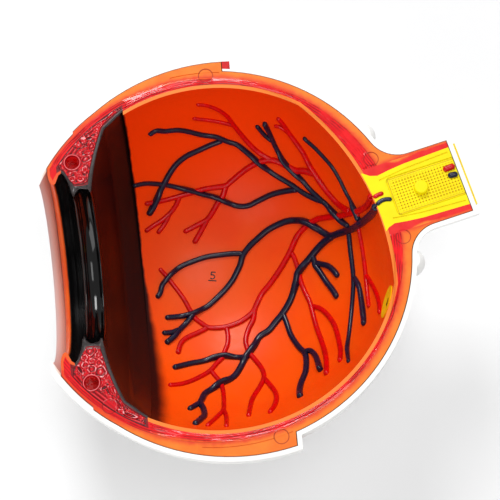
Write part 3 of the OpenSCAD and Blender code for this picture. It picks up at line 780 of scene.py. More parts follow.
@dataclass(frozen=True)
class LimbusPaint(Paint):
    """Orange at the very front, black from the bore inward."""

    black: Colour = (0.03, 0.025, 0.03)
    line: Band = (-55.5, -55.1)
    below: Band = (-0.02, -0.3)

    def layer(self, bench: NodeBench) -> None:
        """The two paints meet in a ragged line across the lens axis, below the cut face."""
        inner = bench.ramp(bench.plus(bench.x, bench.ragged(0.3, 3.0, 0.3)), *self.line)
        bench.lay(bench.times(inner, bench.ramp(bench.z, *self.below)), self.black)


@dataclass(frozen=True)
class ShadedReliefPaint(Paint):
    """Paint with painted shade in a relief's creases and painted highlights on its crests."""

    coat_roughness: float = 0.04
    # colour of the painted shade in the creases
    crease: Colour = (0.62, 0.0, 0.09)
    # colour of the painted highlight on the crests
    crest: Colour = (1.0, 0.74, 0.76)
    low: Band = (0.08, 0.40)
    high: Band = (0.50, 0.95)

    def layer(self, bench: NodeBench) -> None:
        """Mixes the painted crease shade, the paint and the painted crest highlight by the relief attribute.
        """
        height = bench.node("ShaderNodeAttribute", attribute_name="relief").outputs["Fac"]
        # painted shade where the relief is low, painted highlight where it is high
        bench.lay(bench.ramp(height, self.low[1], self.low[0]), self.crease)
        bench.lay(bench.ramp(height, *self.high, 0.0, 0.8), self.crest)


@dataclass(frozen=True)
class SocketPaint(Paint):
    """Dark red of the ciliary body, bright red inside the sockets."""

    bright: Colour = (0.96, 0.05, 0.08)
    over: Band = (0.5, 0.3)
    below: Band = (-0.1, -0.4)

    def layer(self, bench: NodeBench) -> None:
        """A point below the cut face that lies within a socket's reach of its axis is bright."""
        flat = bench.vector("MULTIPLY", bench.eye, (1.0, 1.0, 0.0))
        near: object = 0.0
        for socket in GLOBE.sockets:
            off = bench.vector("DISTANCE", flat, (*socket, 0.0))
            edge = [GLOBE.socket_radius + over for over in self.over]
            near = bench.math("MAXIMUM", near, bench.ramp(off, *edge))
        bench.lay(bench.times(near, bench.ramp(bench.z, *self.below)), self.bright)


@dataclass(frozen=True)
class SheathPaint(Paint):
    """Nerve sheath: red beside the yellow core, orange farther out, red again at the cut end."""

    orange: Colour = (0.97, 0.51, 0.15)
    core: Band = (9.4, 11.3)
    core_along: Band = (64.0, 84.0)
    root: Band = (66.0, 76.0)
    root_extra: float = 4.2
    cut_end: Band = (88.0, 84.0)
    face: Band = (-0.6, -0.3)

    def layer(self, bench: NodeBench) -> None:
        """The red reaches 2 ragged millimetres from the core's edge, which widens along the nerve,
        and farther at the nerve's root, where it comes out of the globe."""
        along, beside = bench.nerve()
        edge = bench.ramp(along, *self.core_along, *self.core)
        root = bench.ramp(bench.off(GLOBE.choroid_centre), *self.root, self.root_extra, 0.0)
        away = bench.minus(bench.plus(bench.minus(beside, edge), bench.ragged(0.4, 3.0, 1.4)), root)
        far = bench.times(bench.ramp(away, 1.4, 2.6), bench.ramp(along, *self.cut_end))
        bench.lay(bench.times(far, bench.ramp(bench.z, *self.face)), self.orange)


@dataclass
class PaintBox:
    """Every finish of the model, made once."""

    made: dict[str, bpy.types.Material] = field(default_factory=dict)

    def recipes(self) -> list[Paint]:
        """The finishes by name."""
        return [
            ShellPaint("white_shell", (0.985, 0.98, 0.97), (0.955, 0.95, 0.94), patch=0.03),
            Paint("yellow_disc", (0.97, 0.86, 0.12), (0.93, 0.80, 0.08), specular=0.2),
            Paint("muscle_red", (0.84, 0.03, 0.07), (0.70, 0.01, 0.04), patch=0.4, specular=0.25),
            ScleraPaint(
                "sclera_orange", (0.97, 0.51, 0.15), (0.95, 0.45, 0.12), (0.40, 0.55), 0.04, specular=0.25
            ),
            ChoroidPaint("choroid_red", (0.96, 0.03, 0.08), (0.88, 0.0, 0.05), specular=0.12),
            RetinaPaint(
                "retina_orange", (1.0, 0.35, 0.02), (0.99, 0.31, 0.01), (0.34, 0.44), 0.05, 0.006, 0.05, 0.2
            ),
            SocketPaint("ciliary_red", (0.58, 0.03, 0.08), (0.42, 0.01, 0.05), (0.2, 0.35), 0.3),
            # painted shade in the ciliary relief's creases and painted highlights on its crests
            ShadedReliefPaint(
                "ciliary_relief", (0.86, 0.05, 0.12), (0.80, 0.02, 0.08), (0.3, 0.42), 0.6, 0.01, 0.3, 0.15,
                crease=(0.36, 0.0, 0.04), crest=(1.0, 0.74, 0.76), low=(0.10, 0.46), high=(0.64, 1.0),
            ),
            PigmentPaint(
                "pigment_black", (0.03, 0.025, 0.028), (0.015, 0.013, 0.015), coat=0.2, grain_mm=0.008
            ),
            LimbusPaint("limbus_orange", (0.93, 0.36, 0.07), (0.90, 0.30, 0.06), (0.34, 0.5), 0.1),
            SheathPaint(
                "sheath_red", (0.92, 0.13, 0.12), (0.88, 0.07, 0.08), (0.3, 0.45), 0.15,
                patch=0.3, specular=0.3,
            ),
            Paint(
                "nerve_yellow", (0.985, 0.93, 0.0), (0.97, 0.89, 0.0), (0.4, 0.52), 0.0,
                patch=0.08, specular=0.2,
            ),
            # painted shade on the nerve pad's dots and along its edge groove
            ShadedReliefPaint(
                "nerve_dots", (0.98, 0.91, 0.0), (0.96, 0.87, 0.0), (0.4, 0.52), 0.0, 0.006, 0.1, 0.2,
                crease=(0.74, 0.52, 0.0), crest=(0.99, 0.95, 0.05), low=(0.02, 0.45), high=(0.8, 1.0),
            ),
            Paint("artery_red", (0.85, 0.0, 0.03), (0.75, 0.0, 0.02), (0.26, 0.36), 0.15, 0.01, 0.5, 0.25),
            Paint("vein_navy", (0.07, 0.09, 0.21), (0.04, 0.055, 0.15), (0.26, 0.36), 0.25, 0.01, 0.5, 0.3),
            Paint("macula_yellow", (1.0, 0.86, 0.04), (0.98, 0.78, 0.02), patch=0.4, specular=0.2),
            Paint("ink_black", (0.04, 0.04, 0.06), (0.02, 0.02, 0.04), (0.3, 0.5), 0.1),
        ]

    def fill(self) -> None:
        """Makes all the finishes."""
        self.made = {recipe.name: recipe.build() for recipe in self.recipes()}

    def __getitem__(self, name: str) -> bpy.types.Material:
        """The finish of that name."""
        return self.made[name]


# ----------------------------------------------------------------------------- vessels


@dataclass(frozen=True)
class Branch:
    """One vessel stretch: its route in plan, and its half width at the start and the end."""

    route: tuple[Plan, ...]
    start: float
    end: float


@dataclass(frozen=True)
class VesselTree:
    """The branches that stand for one CAD node; swell widens them all."""

    node: str
    branches: tuple[Branch, ...]
    swell: float = 1.0


ARTERY_TREES = (
    VesselTree("arteries_temporal", (
        Branch((
            (58.2, 16.2), (56, 17.5), (54, 18.6), (52, 19.7), (50, 20.7), (47, 22), (44, 22.8), (40, 23.6),
            (37, 23.3), (34, 22), (31, 19.6), (28, 15), (25, 11), (22, 7.5), (19, 4.3), (16, 1.5),
            (14, -1.5), (12.5, -4.5), (11.5, -8.5), (9.5, -12), (8, -16), (8, -19), (9, -22.5), (11, -26),
            (13, -30), (13.4, -34), (11.5, -38), (9.5, -41), (8, -44), (7, -48), (6.3, -51.5),
        ), 1.05, 0.75),
        Branch((
            (12.8, -4), (11, -6), (8, -8), (5, -9.3), (1, -10.2), (-3, -10.3), (-6, -9.8), (-8, -8.3),
            (-10.5, -6), (-11.5, -4), (-12.5, -2), (-14, 1.5), (-16, 5), (-18, 8), (-20, 11), (-22.5, 14),
        ), 0.85, 0.7),
        Branch((
            (-6, -9.9), (-10, -11.8), (-13, -13), (-15.5, -14.5), (-17, -16.5), (-18.3, -20.5),
        ), 0.8, 0.8),
        Branch((
            (1, -10.3), (1.3, -14), (0.8, -17.5), (-0.5, -20.5), (-1.5, -23), (-4, -25.5), (-6.5, -28.3),
            (-10, -30.5), (-14, -32.5), (-18, -33.8), (-22.5, -34.3),
        ), 0.8, 0.7),
        Branch((
            (-6.2, -28.2), (-5, -30.5), (-3, -34), (-2.3, -38), (-2.3, -43), (-2.8, -47), (-5, -50),
            (-9, -55),
        ), 0.75, 0.7),
        Branch(((-2.7, -46.5), (-1.8, -50.5), (-2, -56)), 0.75, 0.7),
        Branch(((13.3, -34), (15.5, -38), (17, -41.5), (17.2, -45), (16, -48.5), (14, -51.5)), 0.85, 0.8),
    )),
    VesselTree("arteries_macular", (
        Branch((
            (28.4, 14.9), (29.5, 12), (30.5, 7), (31, 3), (32, -1), (33.5, -6), (34.2, -11), (35, -17),
            (36.3, -24), (37, -30), (36.8, -35), (36.2, -39),
        ), 0.75, 0.85),
        Branch((
            (33.8, -7.5), (37, -9.5), (39.5, -13), (41.5, -18), (42.3, -24), (42.5, -30), (41.7, -35),
        ), 0.75, 0.85),
    )),
    VesselTree("arteries_nasal", (
        Branch((
            (51.3, 20.6), (49, 23.3), (47, 26), (44.5, 30), (42, 34), (40, 37.5), (38, 41), (36, 45),
            (33.5, 48.5), (31.5, 51), (29.5, 53.5), (27.5, 55.5),
        ), 0.9, 0.6),
        Branch(((31.8, 50.8), (28.5, 53.3), (26, 54.3)), 0.6, 0.5),
        Branch((
            (40, 37.8), (36, 40), (33, 41), (30, 43), (27, 45), (24, 46.3), (20, 46.7), (16, 46),
            (12, 44.5), (8, 42.5), (6, 41.5), (2, 41.3), (-3, 41), (-8, 40), (-12, 39.2), (-18, 37.8),
            (-22, 37), (-25.5, 36.3),
        ), 0.9, 0.6),
        Branch(((-12, 39.2), (-14, 36), (-16.5, 33.5), (-20, 31), (-23.5, 29), (-26.5, 27)), 0.65, 0.6),
        Branch(((-16.3, 33.8), (-18.8, 30), (-22, 26.5)), 0.65, 0.6),
        Branch(((6, 41.6), (4.5, 38.5), (2, 36), (0, 33.5), (-2.5, 31), (-6, 29.5), (-12, 27)), 0.8, 0.65),
        Branch(((-2.3, 31.2), (-5, 27.5), (-8.5, 22.8)), 0.7, 0.75),
        Branch((
            (24, 46.3), (20, 49), (17, 51.5), (13, 55.5), (11, 57.5), (9, 59.5), (6, 61), (2, 62),
            (-2, 62.3),
        ), 0.7, 0.5),
        Branch(((11.3, 57.3), (7, 58.5), (2, 59.4), (-4, 60)), 0.55, 0.5),
    ), 1.2),
    VesselTree("arteries_posterior", (
        Branch((
            (53.8, 18.4), (53.8, 14), (54.3, 9), (54.6, 5), (54.7, 0), (54.6, -4), (54.5, -9),
            (54.3, -16.5),
        ), 0.75, 0.75),
        Branch(((54.7, -3), (56.3, -8), (57.4, -13), (57.7, -18), (57.3, -22)), 0.7, 0.75),
    )),
)

VEIN_TREES = (
    VesselTree("veins_temporal", (
        Branch((
            (59.2, 12.4), (57.5, 13.6), (56, 14.2), (54, 14.7), (52, 15), (50, 15.7), (47, 16.1),
            (43.5, 16.4), (41, 18.5), (38, 21.5), (35, 24), (32, 25.3), (28, 26), (24, 25.5), (20, 24.3),
            (16, 22), (13, 20), (10, 17), (8.5, 13.5), (7, 11), (5, 8), (2, 4.8), (-1, 2.2), (-5, -1),
            (-8, -2.5), (-11.5, -4), (-15, -4.7), (-18, -5), (-22, -5.3),
        ), 1.25, 0.85),
        Branch((
            (10.4, 17.4), (6, 18), (1, 18), (-4, 17.7), (-9, 16.5), (-14, 14.7), (-18, 12), (-20, 10),
            (-22, 7.5), (-23, 4.5), (-24.5, 2.5),
        ), 0.9, 0.85),
        Branch(((-10.8, -4), (-14, -7.5), (-17, -10.5), (-19, -13), (-22.5, -16)), 0.85, 0.95),
        Branch(((-16.5, -10), (-20, -11.3), (-23.5, -11.6)), 0.8, 0.8),
    )),
    VesselTree("veins_macular", (
        Branch((
            (44.5, 16.2), (41, 15), (38.5, 13.5), (36, 11.5), (33, 9), (30.5, 6.5), (29.5, 3.5), (28, 0),
            (26, -4), (23, -8), (20, -11), (17, -14), (14, -15.5), (12.5, -17), (11, -19.5), (9, -22),
            (7, -24.5), (5, -28), (3, -31), (0.5, -33), (-3, -34.5), (-6, -36.5), (-9, -38.5), (-10.3, -41),
            (-11, -43), (-10, -46), (-9.8, -49), (-11, -51), (-13.5, -54),
        ), 1.15, 0.95),
        Branch(((-10.8, -42.6), (-13.5, -44.5), (-15.5, -46)), 0.9, 0.85),
        Branch((
            (7.2, -24.2), (3, -23.3), (-1, -22.5), (-5, -23), (-9, -24), (-14, -24.8), (-20.5, -26.5),
        ), 0.85, 0.9),
        Branch((
            (23, -8), (24, -12), (25, -17), (26.5, -21), (28, -24), (29.5, -26.5), (29.8, -30), (29, -35),
            (27, -39.5), (26, -43), (25.8, -46.5),
        ), 0.85, 1.05),
        Branch(((29.3, -26), (31.5, -26), (33, -28), (33.8, -31), (34.5, -36.5)), 0.85, 0.95),
        Branch((
            (36.2, 11.8), (36.8, 9), (37, 7.5), (38.5, 4.5), (40.5, 0), (42.5, -4), (43.8, -7.5),
        ), 0.9, 0.95),
        Branch(((36.9, 8.6), (39, 7.5), (41.5, 6), (43.5, 3.5), (45, 0.5)), 0.9, 0.95),
    )),
    VesselTree("veins_nasal", (
        Branch((
            (50.5, 16.6), (48.5, 19.5), (46.5, 22.5), (44, 26), (42, 28.5), (40, 29.8), (37, 32),
            (34, 34.5), (31, 37.2), (28, 39.5), (24, 42.5), (20, 46), (16, 49.5), (12, 52.5), (8, 54),
            (4, 55.5), (-1, 56.3), (-6, 57.2), (-10, 57.5), (-15, 57), (-18, 56.8), (-21, 55.5),
        ), 0.85, 0.8),
        Branch((
            (33, 35.3), (28, 36), (23, 36), (18, 35), (14, 34), (10, 34.3), (6, 36), (2, 38), (-3, 39.5),
            (-8, 41), (-13, 42), (-18, 42.7), (-24, 42.7), (-29, 41.5),
        ), 0.95, 0.7),
        Branch((
            (6.5, 54.4), (2, 53.7), (-3, 52.5), (-8, 51), (-12, 48.8), (-15, 46), (-17, 43.5), (-19, 41),
            (-21, 38), (-23, 35), (-24.7, 32.5),
        ), 0.85, 1.0),
        Branch((
            (42.6, 27.8), (40, 31), (37.5, 34), (35, 37.5), (32, 41), (29, 44.5), (26.5, 48.5), (25, 51.5),
            (24, 53.5), (22.5, 56),
        ), 0.8, 0.75),
        Branch(((25.3, 50.8), (22.5, 53), (19.5, 56)), 0.7, 0.7),
        Branch((
            (54.3, 15.6), (53.3, 19), (52, 22.5), (50.3, 26.5), (48.5, 31), (46, 36), (43, 40.5),
            (40, 44.5), (36.5, 48.5),
        ), 0.7, 0.7),
    )),
    VesselTree("veins_posterior", (
        Branch((
            (50.3, 15), (50.3, 12), (50.3, 8), (50.4, 3), (50.3, -2), (49.5, -8), (48, -16), (46.5, -23),
            (45, -30), (44.5, -37),
        ), 0.85, 0.65),
        Branch(((50.4, -1.5), (51.8, -6), (52.2, -12), (52.2, -18), (51.8, -23)), 0.8, 1.0),
    )),
)


@dataclass
class Vasculature:
    """Raised vessels of the bowl: half-round ridges swept along routes that lie on it."""

    paints: PaintBox
    height: float = 1.25
    most: float = 1.15
    lift: float = 0.75
    fuller: float = 1.22
    spacing: float = 0.45
    arch: int = 15
    sink: float = 0.1
    foot: float = 0.8
    near: float = 2.0
    far: float = 4.8

    def build(self) -> None:
        """Makes one piece for each tree; the veins rise where they cross an artery."""
        arteries = np.vstack([self.centre_line(branch) for tree in ARTERY_TREES for branch in tree.branches])
        for trees, blood, under in ((ARTERY_TREES, Blood.ARTERY, None), (VEIN_TREES, Blood.VEIN, arteries)):
            for tree in trees:
                wide = self.fuller * tree.swell
                points, faces = joined([self.ridge(branch, wide, under) for branch in tree.branches])
                name = tree.node.replace("arteries", "artery_relief").replace("veins", "vein_relief")
                piece = make_piece(name, points, faces, Body.INSERT, self.paints[blood.paint])
                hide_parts(tree.node)

    def centre_line(self, branch: Branch) -> np.ndarray:
        """Route of a branch on the bowl: its spline in plan, dropped on the surface."""
        return BOWL.points(spline(np.array(branch.route, dtype=float)))

    def stations(self, length: float, half: float) -> np.ndarray:
        """Lengths at which rings stand: even along the vessel, and closing in on its round ends."""
        turn = half * (1 - np.cos(np.linspace(0.12, np.pi / 2, 6)))
        middle = np.linspace(half, length - half, max(int((length - 2 * half) / self.spacing), 2))
        return np.concatenate([turn[:-1], middle, length - turn[-2::-1]])

    def rise(self, line: np.ndarray, under: np.ndarray) -> np.ndarray:
        """Share by which each point rises over what it crosses: a smooth step of the distance to it,
        averaged over five neighbours."""
        gap = np.sqrt(((line[:, None, :] - under[None, :, :]) ** 2).sum(-1)).min(1)
        rise = 1.0 - smoothstep(gap, self.near, self.far)
        return np.convolve(np.pad(rise, 2, mode="edge"), np.ones(5) / 5, mode="valid")

    def ridge(self, branch: Branch, wide: float, under: np.ndarray | None) -> Mesh:
        """One ridge: at each station a half ellipse stands on the bowl, over a foot sunk just below it.

        The half width runs evenly from start to end and is scaled by a circle's chord near both ends.
        Its height is the ridge's height times the width's share of 1 mm, plus the rise over what it
        crosses.

        Args:
            branch: the route and its half widths.
            wide: what the half widths are multiplied by.
            under: points that it passes over, or None.

        Returns:
            Points and faces.
        """
        curve = self.centre_line(branch)
        start, end = wide * branch.start, wide * branch.end
        length, tip = curve_length(curve), min(start, end)
        at = self.stations(length, tip)
        line = resample(curve, at)
        chord = round_ends(at, length, tip)
        half = (start + (end - start) * at / length) * chord
        tall = self.height * np.clip(half, 0.0, self.most) * (0.55 + 0.45 * chord)
        if under is not None:
            tall = tall + self.lift * self.height * self.rise(line, under) * chord
        turn = np.linspace(0.0, np.pi, self.arch)
        across = np.concatenate([np.cos(turn) * (1 + 0.25 * np.sin(turn) ** 2), [-self.foot, self.foot]])
        upward = np.concatenate([np.sin(turn) ** 0.9, [0.0, 0.0]])
        sunk = np.concatenate([np.zeros(self.arch), [self.sink, self.sink]])
        return swept(line, BOWL.normals(line), half[:, None] * across, tall[:, None] * upward - sunk)


@dataclass
class FaceVessels:
    """Short vessels that lie on the nerve's cut face."""

    paints: PaintBox
    flat: float = 0.85

    def build(self) -> None:
        """Sweeps a half ellipse along each short route on the cut face."""
        routes = (
            ("central_artery", Blood.ARTERY, ((58.3, 15.9), (60, 16.7), (62.1, 17.3)), 0.8),
            ("central_vein", Blood.VEIN, ((59.1, 13.0), (60.6, 14.2), (62.4, 14.8), (64.9, 14.6)), 0.8),
            ("nerve_artery_end", Blood.ARTERY, ((84.3, 23.7), (86.5, 24.4), (88.7, 24.95)), 1.15),
            ("nerve_vein_end", Blood.VEIN, ((85.7, 21.3), (87.8, 21.6), (89.4, 21.75)), 1.1),
        )
        for node, blood, route, half in routes:
            curve = spline(np.array(route, dtype=float))
            line = np.concatenate([curve, np.zeros((len(curve), 1))], -1)
            points, faces = self.ridge(line, half)
            name = node + "_relief"
            piece = make_piece(name, points, faces, Body.INSERT, self.paints[blood.paint])
            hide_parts(node)

    def ridge(self, curve: np.ndarray, half: float) -> Mesh:
        """A half-round ridge on the plane z = 0 with round ends: a circle's chord scales width and height.

        Args:
            curve: the centre line.
            half: half width.

        Returns:
            Points and faces.
        """
        length = curve_length(curve)
        turn = half * (1 - np.cos(np.linspace(0.15, np.pi / 2, 6)))
        at = np.concatenate([turn, np.linspace(half, length - half, 8)[1:-1], length - turn[::-1]])
        line = resample(curve, at)
        up = np.broadcast_to(np.array([0.0, 0.0, 1.0]), line.shape)
        reach = (half * round_ends(at, length, half))[:, None]
        sweep = np.linspace(0.0, np.pi, 13)
        return swept(line, up, reach * np.cos(sweep), self.flat * reach * np.sin(sweep))


# ----------------------------------------------------------------------------- ciliary relief


@dataclass(frozen=True)
class Cell:
    """One oval of the relief: half axes in millimetres, lean in degrees, and its heights as shares of
    the tallest: raised rim, floor, and the nub on the floor."""

    centre: Plan
    long: float
    short: float
    lean: float = 0.0
    rim: float = 0.5
    floor: float = 0.12
    nub: float = 0.45


NASAL_CELLS = (
    Cell((-36.5, 55.55), 4.5, 0.85, 30.0, 0.62, 0.0, 0.0),
    Cell((-41.7, 51.6), 1.5, 0.9, 25.0, 0.1, 0.15, 0.9),
    Cell((-40.9, 45.2), 1.5, 1.1, 60.0, 0.25, 0.1, 0.85),
    Cell((-43.4, 40.6), 1.9, 1.2, 25.0, 0.25, 0.1, 0.85),
    Cell((-41.6, 48.4), 1.4, 0.7, 10.0, 0.2, 0.05, 0.0),
    Cell((-45.9, 33.4), 1.2, 0.9, -40.0, 0.4, 0.15, 0.6),
    Cell((-48.6, 33.6), 1.0, 0.8, 0.0, 0.4, 0.15, 0.5),
    Cell((-43.9, 36.6), 1.1, 0.8, 70.0, 0.35, 0.15, 0.5),
    Cell((-51.4, 42.0), 2.6, 0.5, 58.0, 0.45, 0.1, 0.0),
    Cell((-42.6, 43.2), 0.9, 0.6, 0.0, 0.3, 0.15, 0.4),
)
TEMPORAL_CELLS = (
    Cell((-46.95, -30.7), 1.75, 1.5, 10.0, 0.45, 0.12, 0.75),
    Cell((-43.95, -32.5), 1.3, 1.15, 0.0, 0.35, 0.2, 0.7),
    Cell((-49.0, -32.9), 1.0, 0.95, 0.0, 0.4, 0.15, 0.4),
    Cell((-48.9, -35.5), 1.2, 1.05, 20.0, 0.45, 0.15, 0.55),
    Cell((-46.55, -34.3), 1.0, 0.8, 0.0, 0.35, 0.2, 0.4),
    Cell((-44.05, -35.2), 1.2, 1.0, 0.0, 0.4, 0.15, 0.5),
    Cell((-46.75, -37.2), 1.4, 1.35, 0.0, 0.5, 0.12, 0.6),
    Cell((-43.75, -38.45), 2.0, 1.95, 0.0, 0.55, 0.15, 0.75),
    Cell((-42.9, -44.3), 1.3, 0.7, 25.0, 0.25, 0.0, 0.0),
    Cell((-50.9, -37.0), 1.9, 0.65, -62.0, 0.4, 0.05, 0.0),
    Cell((-40.3, -45.4), 2.1, 0.9, -65.0, 0.3, 0.2, 0.55),
    Cell((-38.3, -50.3), 2.4, 0.5, -58.0, 0.35, 0.2, 0.0),
    Cell((-34.7, -54.9), 2.5, 0.6, -27.0, 0.6, 0.05, 0.55),
    Cell((-37.6, -53.4), 1.0, 0.6, -40.0, 0.5, 0.2, 0.6),
)


@dataclass(frozen=True)
class Ring:
    """A bell-shaped ring: its radius, the bell's width and its height."""

    radius: float
    width: float
    height: float

    def over(self, off: np.ndarray) -> np.ndarray:
        """Height at distances from the ring's centre."""
        return self.height * bell(off, self.radius, self.width)


@dataclass
class CiliaryRelief:
    """Bubbly relief on the two cut faces of the ciliary body, with rings round the sockets."""

    paints: PaintBox
    rows: int = 330
    columns: int = 130
    tallest: float = 0.8
    clearance: float = 0.02
    socket_ring: Ring = Ring(2.85, 0.33, 0.85)
    mark_ring: Ring = Ring(2.55, 0.22, 0.8)
    rosette_centre: Plan = (-45.2, 47.9)
    rosette_radius: float = 2.75
    crumbs: int = 34
    nasal_seed: int = 7
    temporal_seed: int = 11

    def build(self) -> None:
        """Makes the nose-side and the temple-side relief."""
        for name, side in (("ciliary_relief_nasal", 1.0), ("ciliary_relief_temporal", -1.0)):
            self.patch(name, side)

    def inner_line(self) -> np.ndarray:
        """Hidden back of the black layer, as distance ahead and radius."""
        return np.array([
            (28.9, 57.4), (30.5, 56.2), (33.0, 54.6), (36.0, 52.2), (37.2, 50.6), (38.6, 46.6),
            (40.1, 42.3), (41.6, 37.4), (42.7, 33.0), (43.4, 30.7), (44.6, 30.2), (46.4, 30.3),
            (48.2, 30.2), (49.4, 31.6), (50.4, 33.6), (51.2, 35.3), (52.0, 36.3), (53.2, 36.6),
        ])

    def outer_line(self) -> np.ndarray:
        """Outer boundary: the ciliary sphere, from the ora to the front."""
        ahead = np.linspace(29.6, 53.6, 30)
        return np.stack([ahead, np.sqrt(GLOBE.ciliary_radius**2 - ahead**2) - 0.15], -1)

    def patch(self, name: str, side: float) -> None:
        """A sheet between the two lines: rows run from the ora to the front, columns from inside to
        outside, and the height is a sum of cell domes, rings and strands that fades at the border."""
        share = np.linspace(0, 1, self.rows)
        lines = (self.inner_line(), self.outer_line())
        inner, outer = (resample(line, share * curve_length(line)) for line in lines)
        near = np.stack([-inner[:, 0], side * inner[:, 1] + GLOBE.axis_y], -1)
        away = np.stack([-outer[:, 0], side * outer[:, 1]], -1)
        t = np.linspace(0, 1, self.columns)[None, :, None]
        plan = near[:, None, :] * (1 - t) + away[:, None, :] * t
        border = np.minimum(t[..., 0], 1 - t[..., 0]) * np.linalg.norm(near - away, axis=1)[:, None]
        ends = np.minimum(share, 1 - share)[:, None] * curve_length(self.outer_line())
        fade = smoothstep(np.minimum(border, ends), 0.05, 0.7)
        flat = plan.reshape(-1, 2)
        out = t[..., 0].repeat(self.rows, 0).reshape(-1)
        height = self.heights(flat, side, out) * fade.reshape(-1)
        flat, keep = self.open_socket(flat)
        points = np.concatenate([flat, (self.clearance + self.tallest * height)[:, None]], -1)
        quads = grid_faces(self.rows, self.columns)
        quads = quads[keep[quads].any(1)]
        if side > 0:
            quads = quads[:, ::-1]
        paint = self.paints["ciliary_relief"]
        piece = make_piece(name, points, quads.tolist(), Body.INSERT, paint)
        # the paint lays painted shade in the low places and painted highlights on the high ones by this
        # height
        tint_relief(piece, height)

    def open_socket(self, plan: np.ndarray) -> tuple[np.ndarray, np.ndarray]:
        """Pushes points off the sockets to their rims.

        Returns:
            The moved points, and which of them lay outside every socket.
        """
        moved, keep = plan.copy(), np.ones(len(plan), dtype=bool)
        rim = GLOBE.socket_radius + self.clearance
        for socket in GLOBE.sockets:
            off = plan - np.array(socket)
            inside = np.linalg.norm(off, axis=1) < rim
            moved[inside] = np.array(socket) + unit(off[inside]) * rim
            keep &= ~inside
        return moved, keep

    def heights(self, plan: np.ndarray, side: float, out: np.ndarray) -> np.ndarray:
        """Height share from 0 to 1 for each point.

        A rough ground of summed sines carries strands along the outer wall, then each cell's oval
        rim, floor and nub, the ring round the socket and the round mark of the mould.

        Args:
            plan: the points on the cut face.
            side: 1 for the nose side, -1 for the temple side.
            out: share of the way from the inner to the outer wall.

        Returns:
            The heights.
        """
        chance = np.random.default_rng(self.nasal_seed if side > 0 else self.temporal_seed)
        ground = np.zeros(len(plan))
        for wave in (1.7, 2.6, 4.2, 6.4):
            turn = chance.uniform(0.0, np.pi, 2)
            part = np.ones(len(plan))
            for lean in turn:
                way = np.array([math.cos(lean), math.sin(lean)])
                bend = 1.5 * np.sin(0.9 * plan @ way[::-1])
                part = part * np.sin(wave * (plan @ way) + chance.uniform(0, 6) + bend)
            ground += part / math.sqrt(wave)
        height = 0.42 + 0.26 * ground
        radius = np.linalg.norm(plan, axis=1)
        angle = np.arctan2(plan[:, 1], -plan[:, 0])
        wander = 1.6 * np.sin(angle * 21.0) + 1.2 * np.sin(angle * 9.0)
        strands = 0.5 + 0.5 * np.sin(radius * 4.6 + wander)
        outer = smoothstep(out, 0.66, 0.8)
        height = height * (1 - outer) + (0.15 + 0.6 * strands) * outer
        for cell in NASAL_CELLS if side > 0 else TEMPORAL_CELLS:
            height = self.cell(height, plan, cell)
        for socket in GLOBE.sockets:
            off = np.linalg.norm(plan - np.array(socket), axis=1)
            height = np.maximum(height * smoothstep(off, 2.6, 4.0), self.socket_ring.over(off))
        if side > 0:
            height = self.rosette(height, plan, chance)
        else:
            off = np.linalg.norm(plan - np.array(GLOBE.marks[0]), axis=1)
            disc = 1 - smoothstep(off, 2.1, 2.4)
            height = height * (1 - 0.6 * disc) + 0.25 * disc
            height = np.maximum(height, self.mark_ring.over(off))
        return np.clip(height, 0.0, 1.0)

    def cell(self, height: np.ndarray, plan: np.ndarray, cell: Cell) -> np.ndarray:
        """Adds one cell: a bell-shaped rim round an oval, a flat floor and a bell-shaped nub in it."""
        lean = math.radians(cell.lean)
        off = plan - np.array(cell.centre)
        along = (off[:, 0] * math.cos(lean) + off[:, 1] * math.sin(lean)) / cell.long
        across = (off[:, 1] * math.cos(lean) - off[:, 0] * math.sin(lean)) / cell.short
        share = np.hypot(along, across)
        turn = np.arctan2(across, along)
        dents = 0.06 * np.sin(3 * turn + cell.centre[0]) + 0.04 * np.sin(5 * turn + cell.centre[1])
        share = share * (1 + dents)
        off_rim = (share - 1) * math.sqrt(cell.long * cell.short)
        inside = 1 - smoothstep(off_rim, -0.45, -0.1)
        height = height * (1 - inside) + inside * (cell.floor + cell.nub * bell(share, 0.0, 0.42))
        crease = 0.35 * bell(off_rim, 0.5, 0.22)
        return height * (1 - crease) + cell.rim * bell(off_rim, 0.0, 0.24)

    def rosette(self, height: np.ndarray, plan: np.ndarray, chance: np.random.Generator) -> np.ndarray:
        """Adds a round patch of crumbs: each crumb is the area nearest to one seed, tilted its own way.

        Args:
            height: the heights so far.
            plan: the points on the cut face.
            chance: where the seeds, tilts and heights are drawn from.

        Returns:
            The new heights.
        """
        centre, radius, crumbs = np.array(self.rosette_centre), self.rosette_radius, self.crumbs
        reach = radius * np.sqrt(chance.uniform(0.02, 1.0, crumbs))
        turn = chance.uniform(0.0, 2 * np.pi, crumbs)
        seeds = centre + np.stack([reach * np.cos(turn), reach * np.sin(turn)], -1)
        tilt = chance.uniform(-0.5, 0.5, (crumbs, 2))
        top = chance.uniform(0.1, 1.0, crumbs)
        off = plan[:, None, :] - seeds[None, :, :]
        nearest = (off**2).sum(-1).argmin(1)
        mine = off[np.arange(len(plan)), nearest]
        crumb = top[nearest] + (mine * tilt[nearest]).sum(-1)
        far = np.linalg.norm(plan - centre, axis=1)
        inside = 1 - smoothstep(far, radius - 0.25, radius)
        moat = bell(far, radius + 0.25, 0.25)
        return (height * (1 - inside) + inside * crumb) * (1 - 0.7 * moat)


# ----------------------------------------------------------------------------- vascular layer


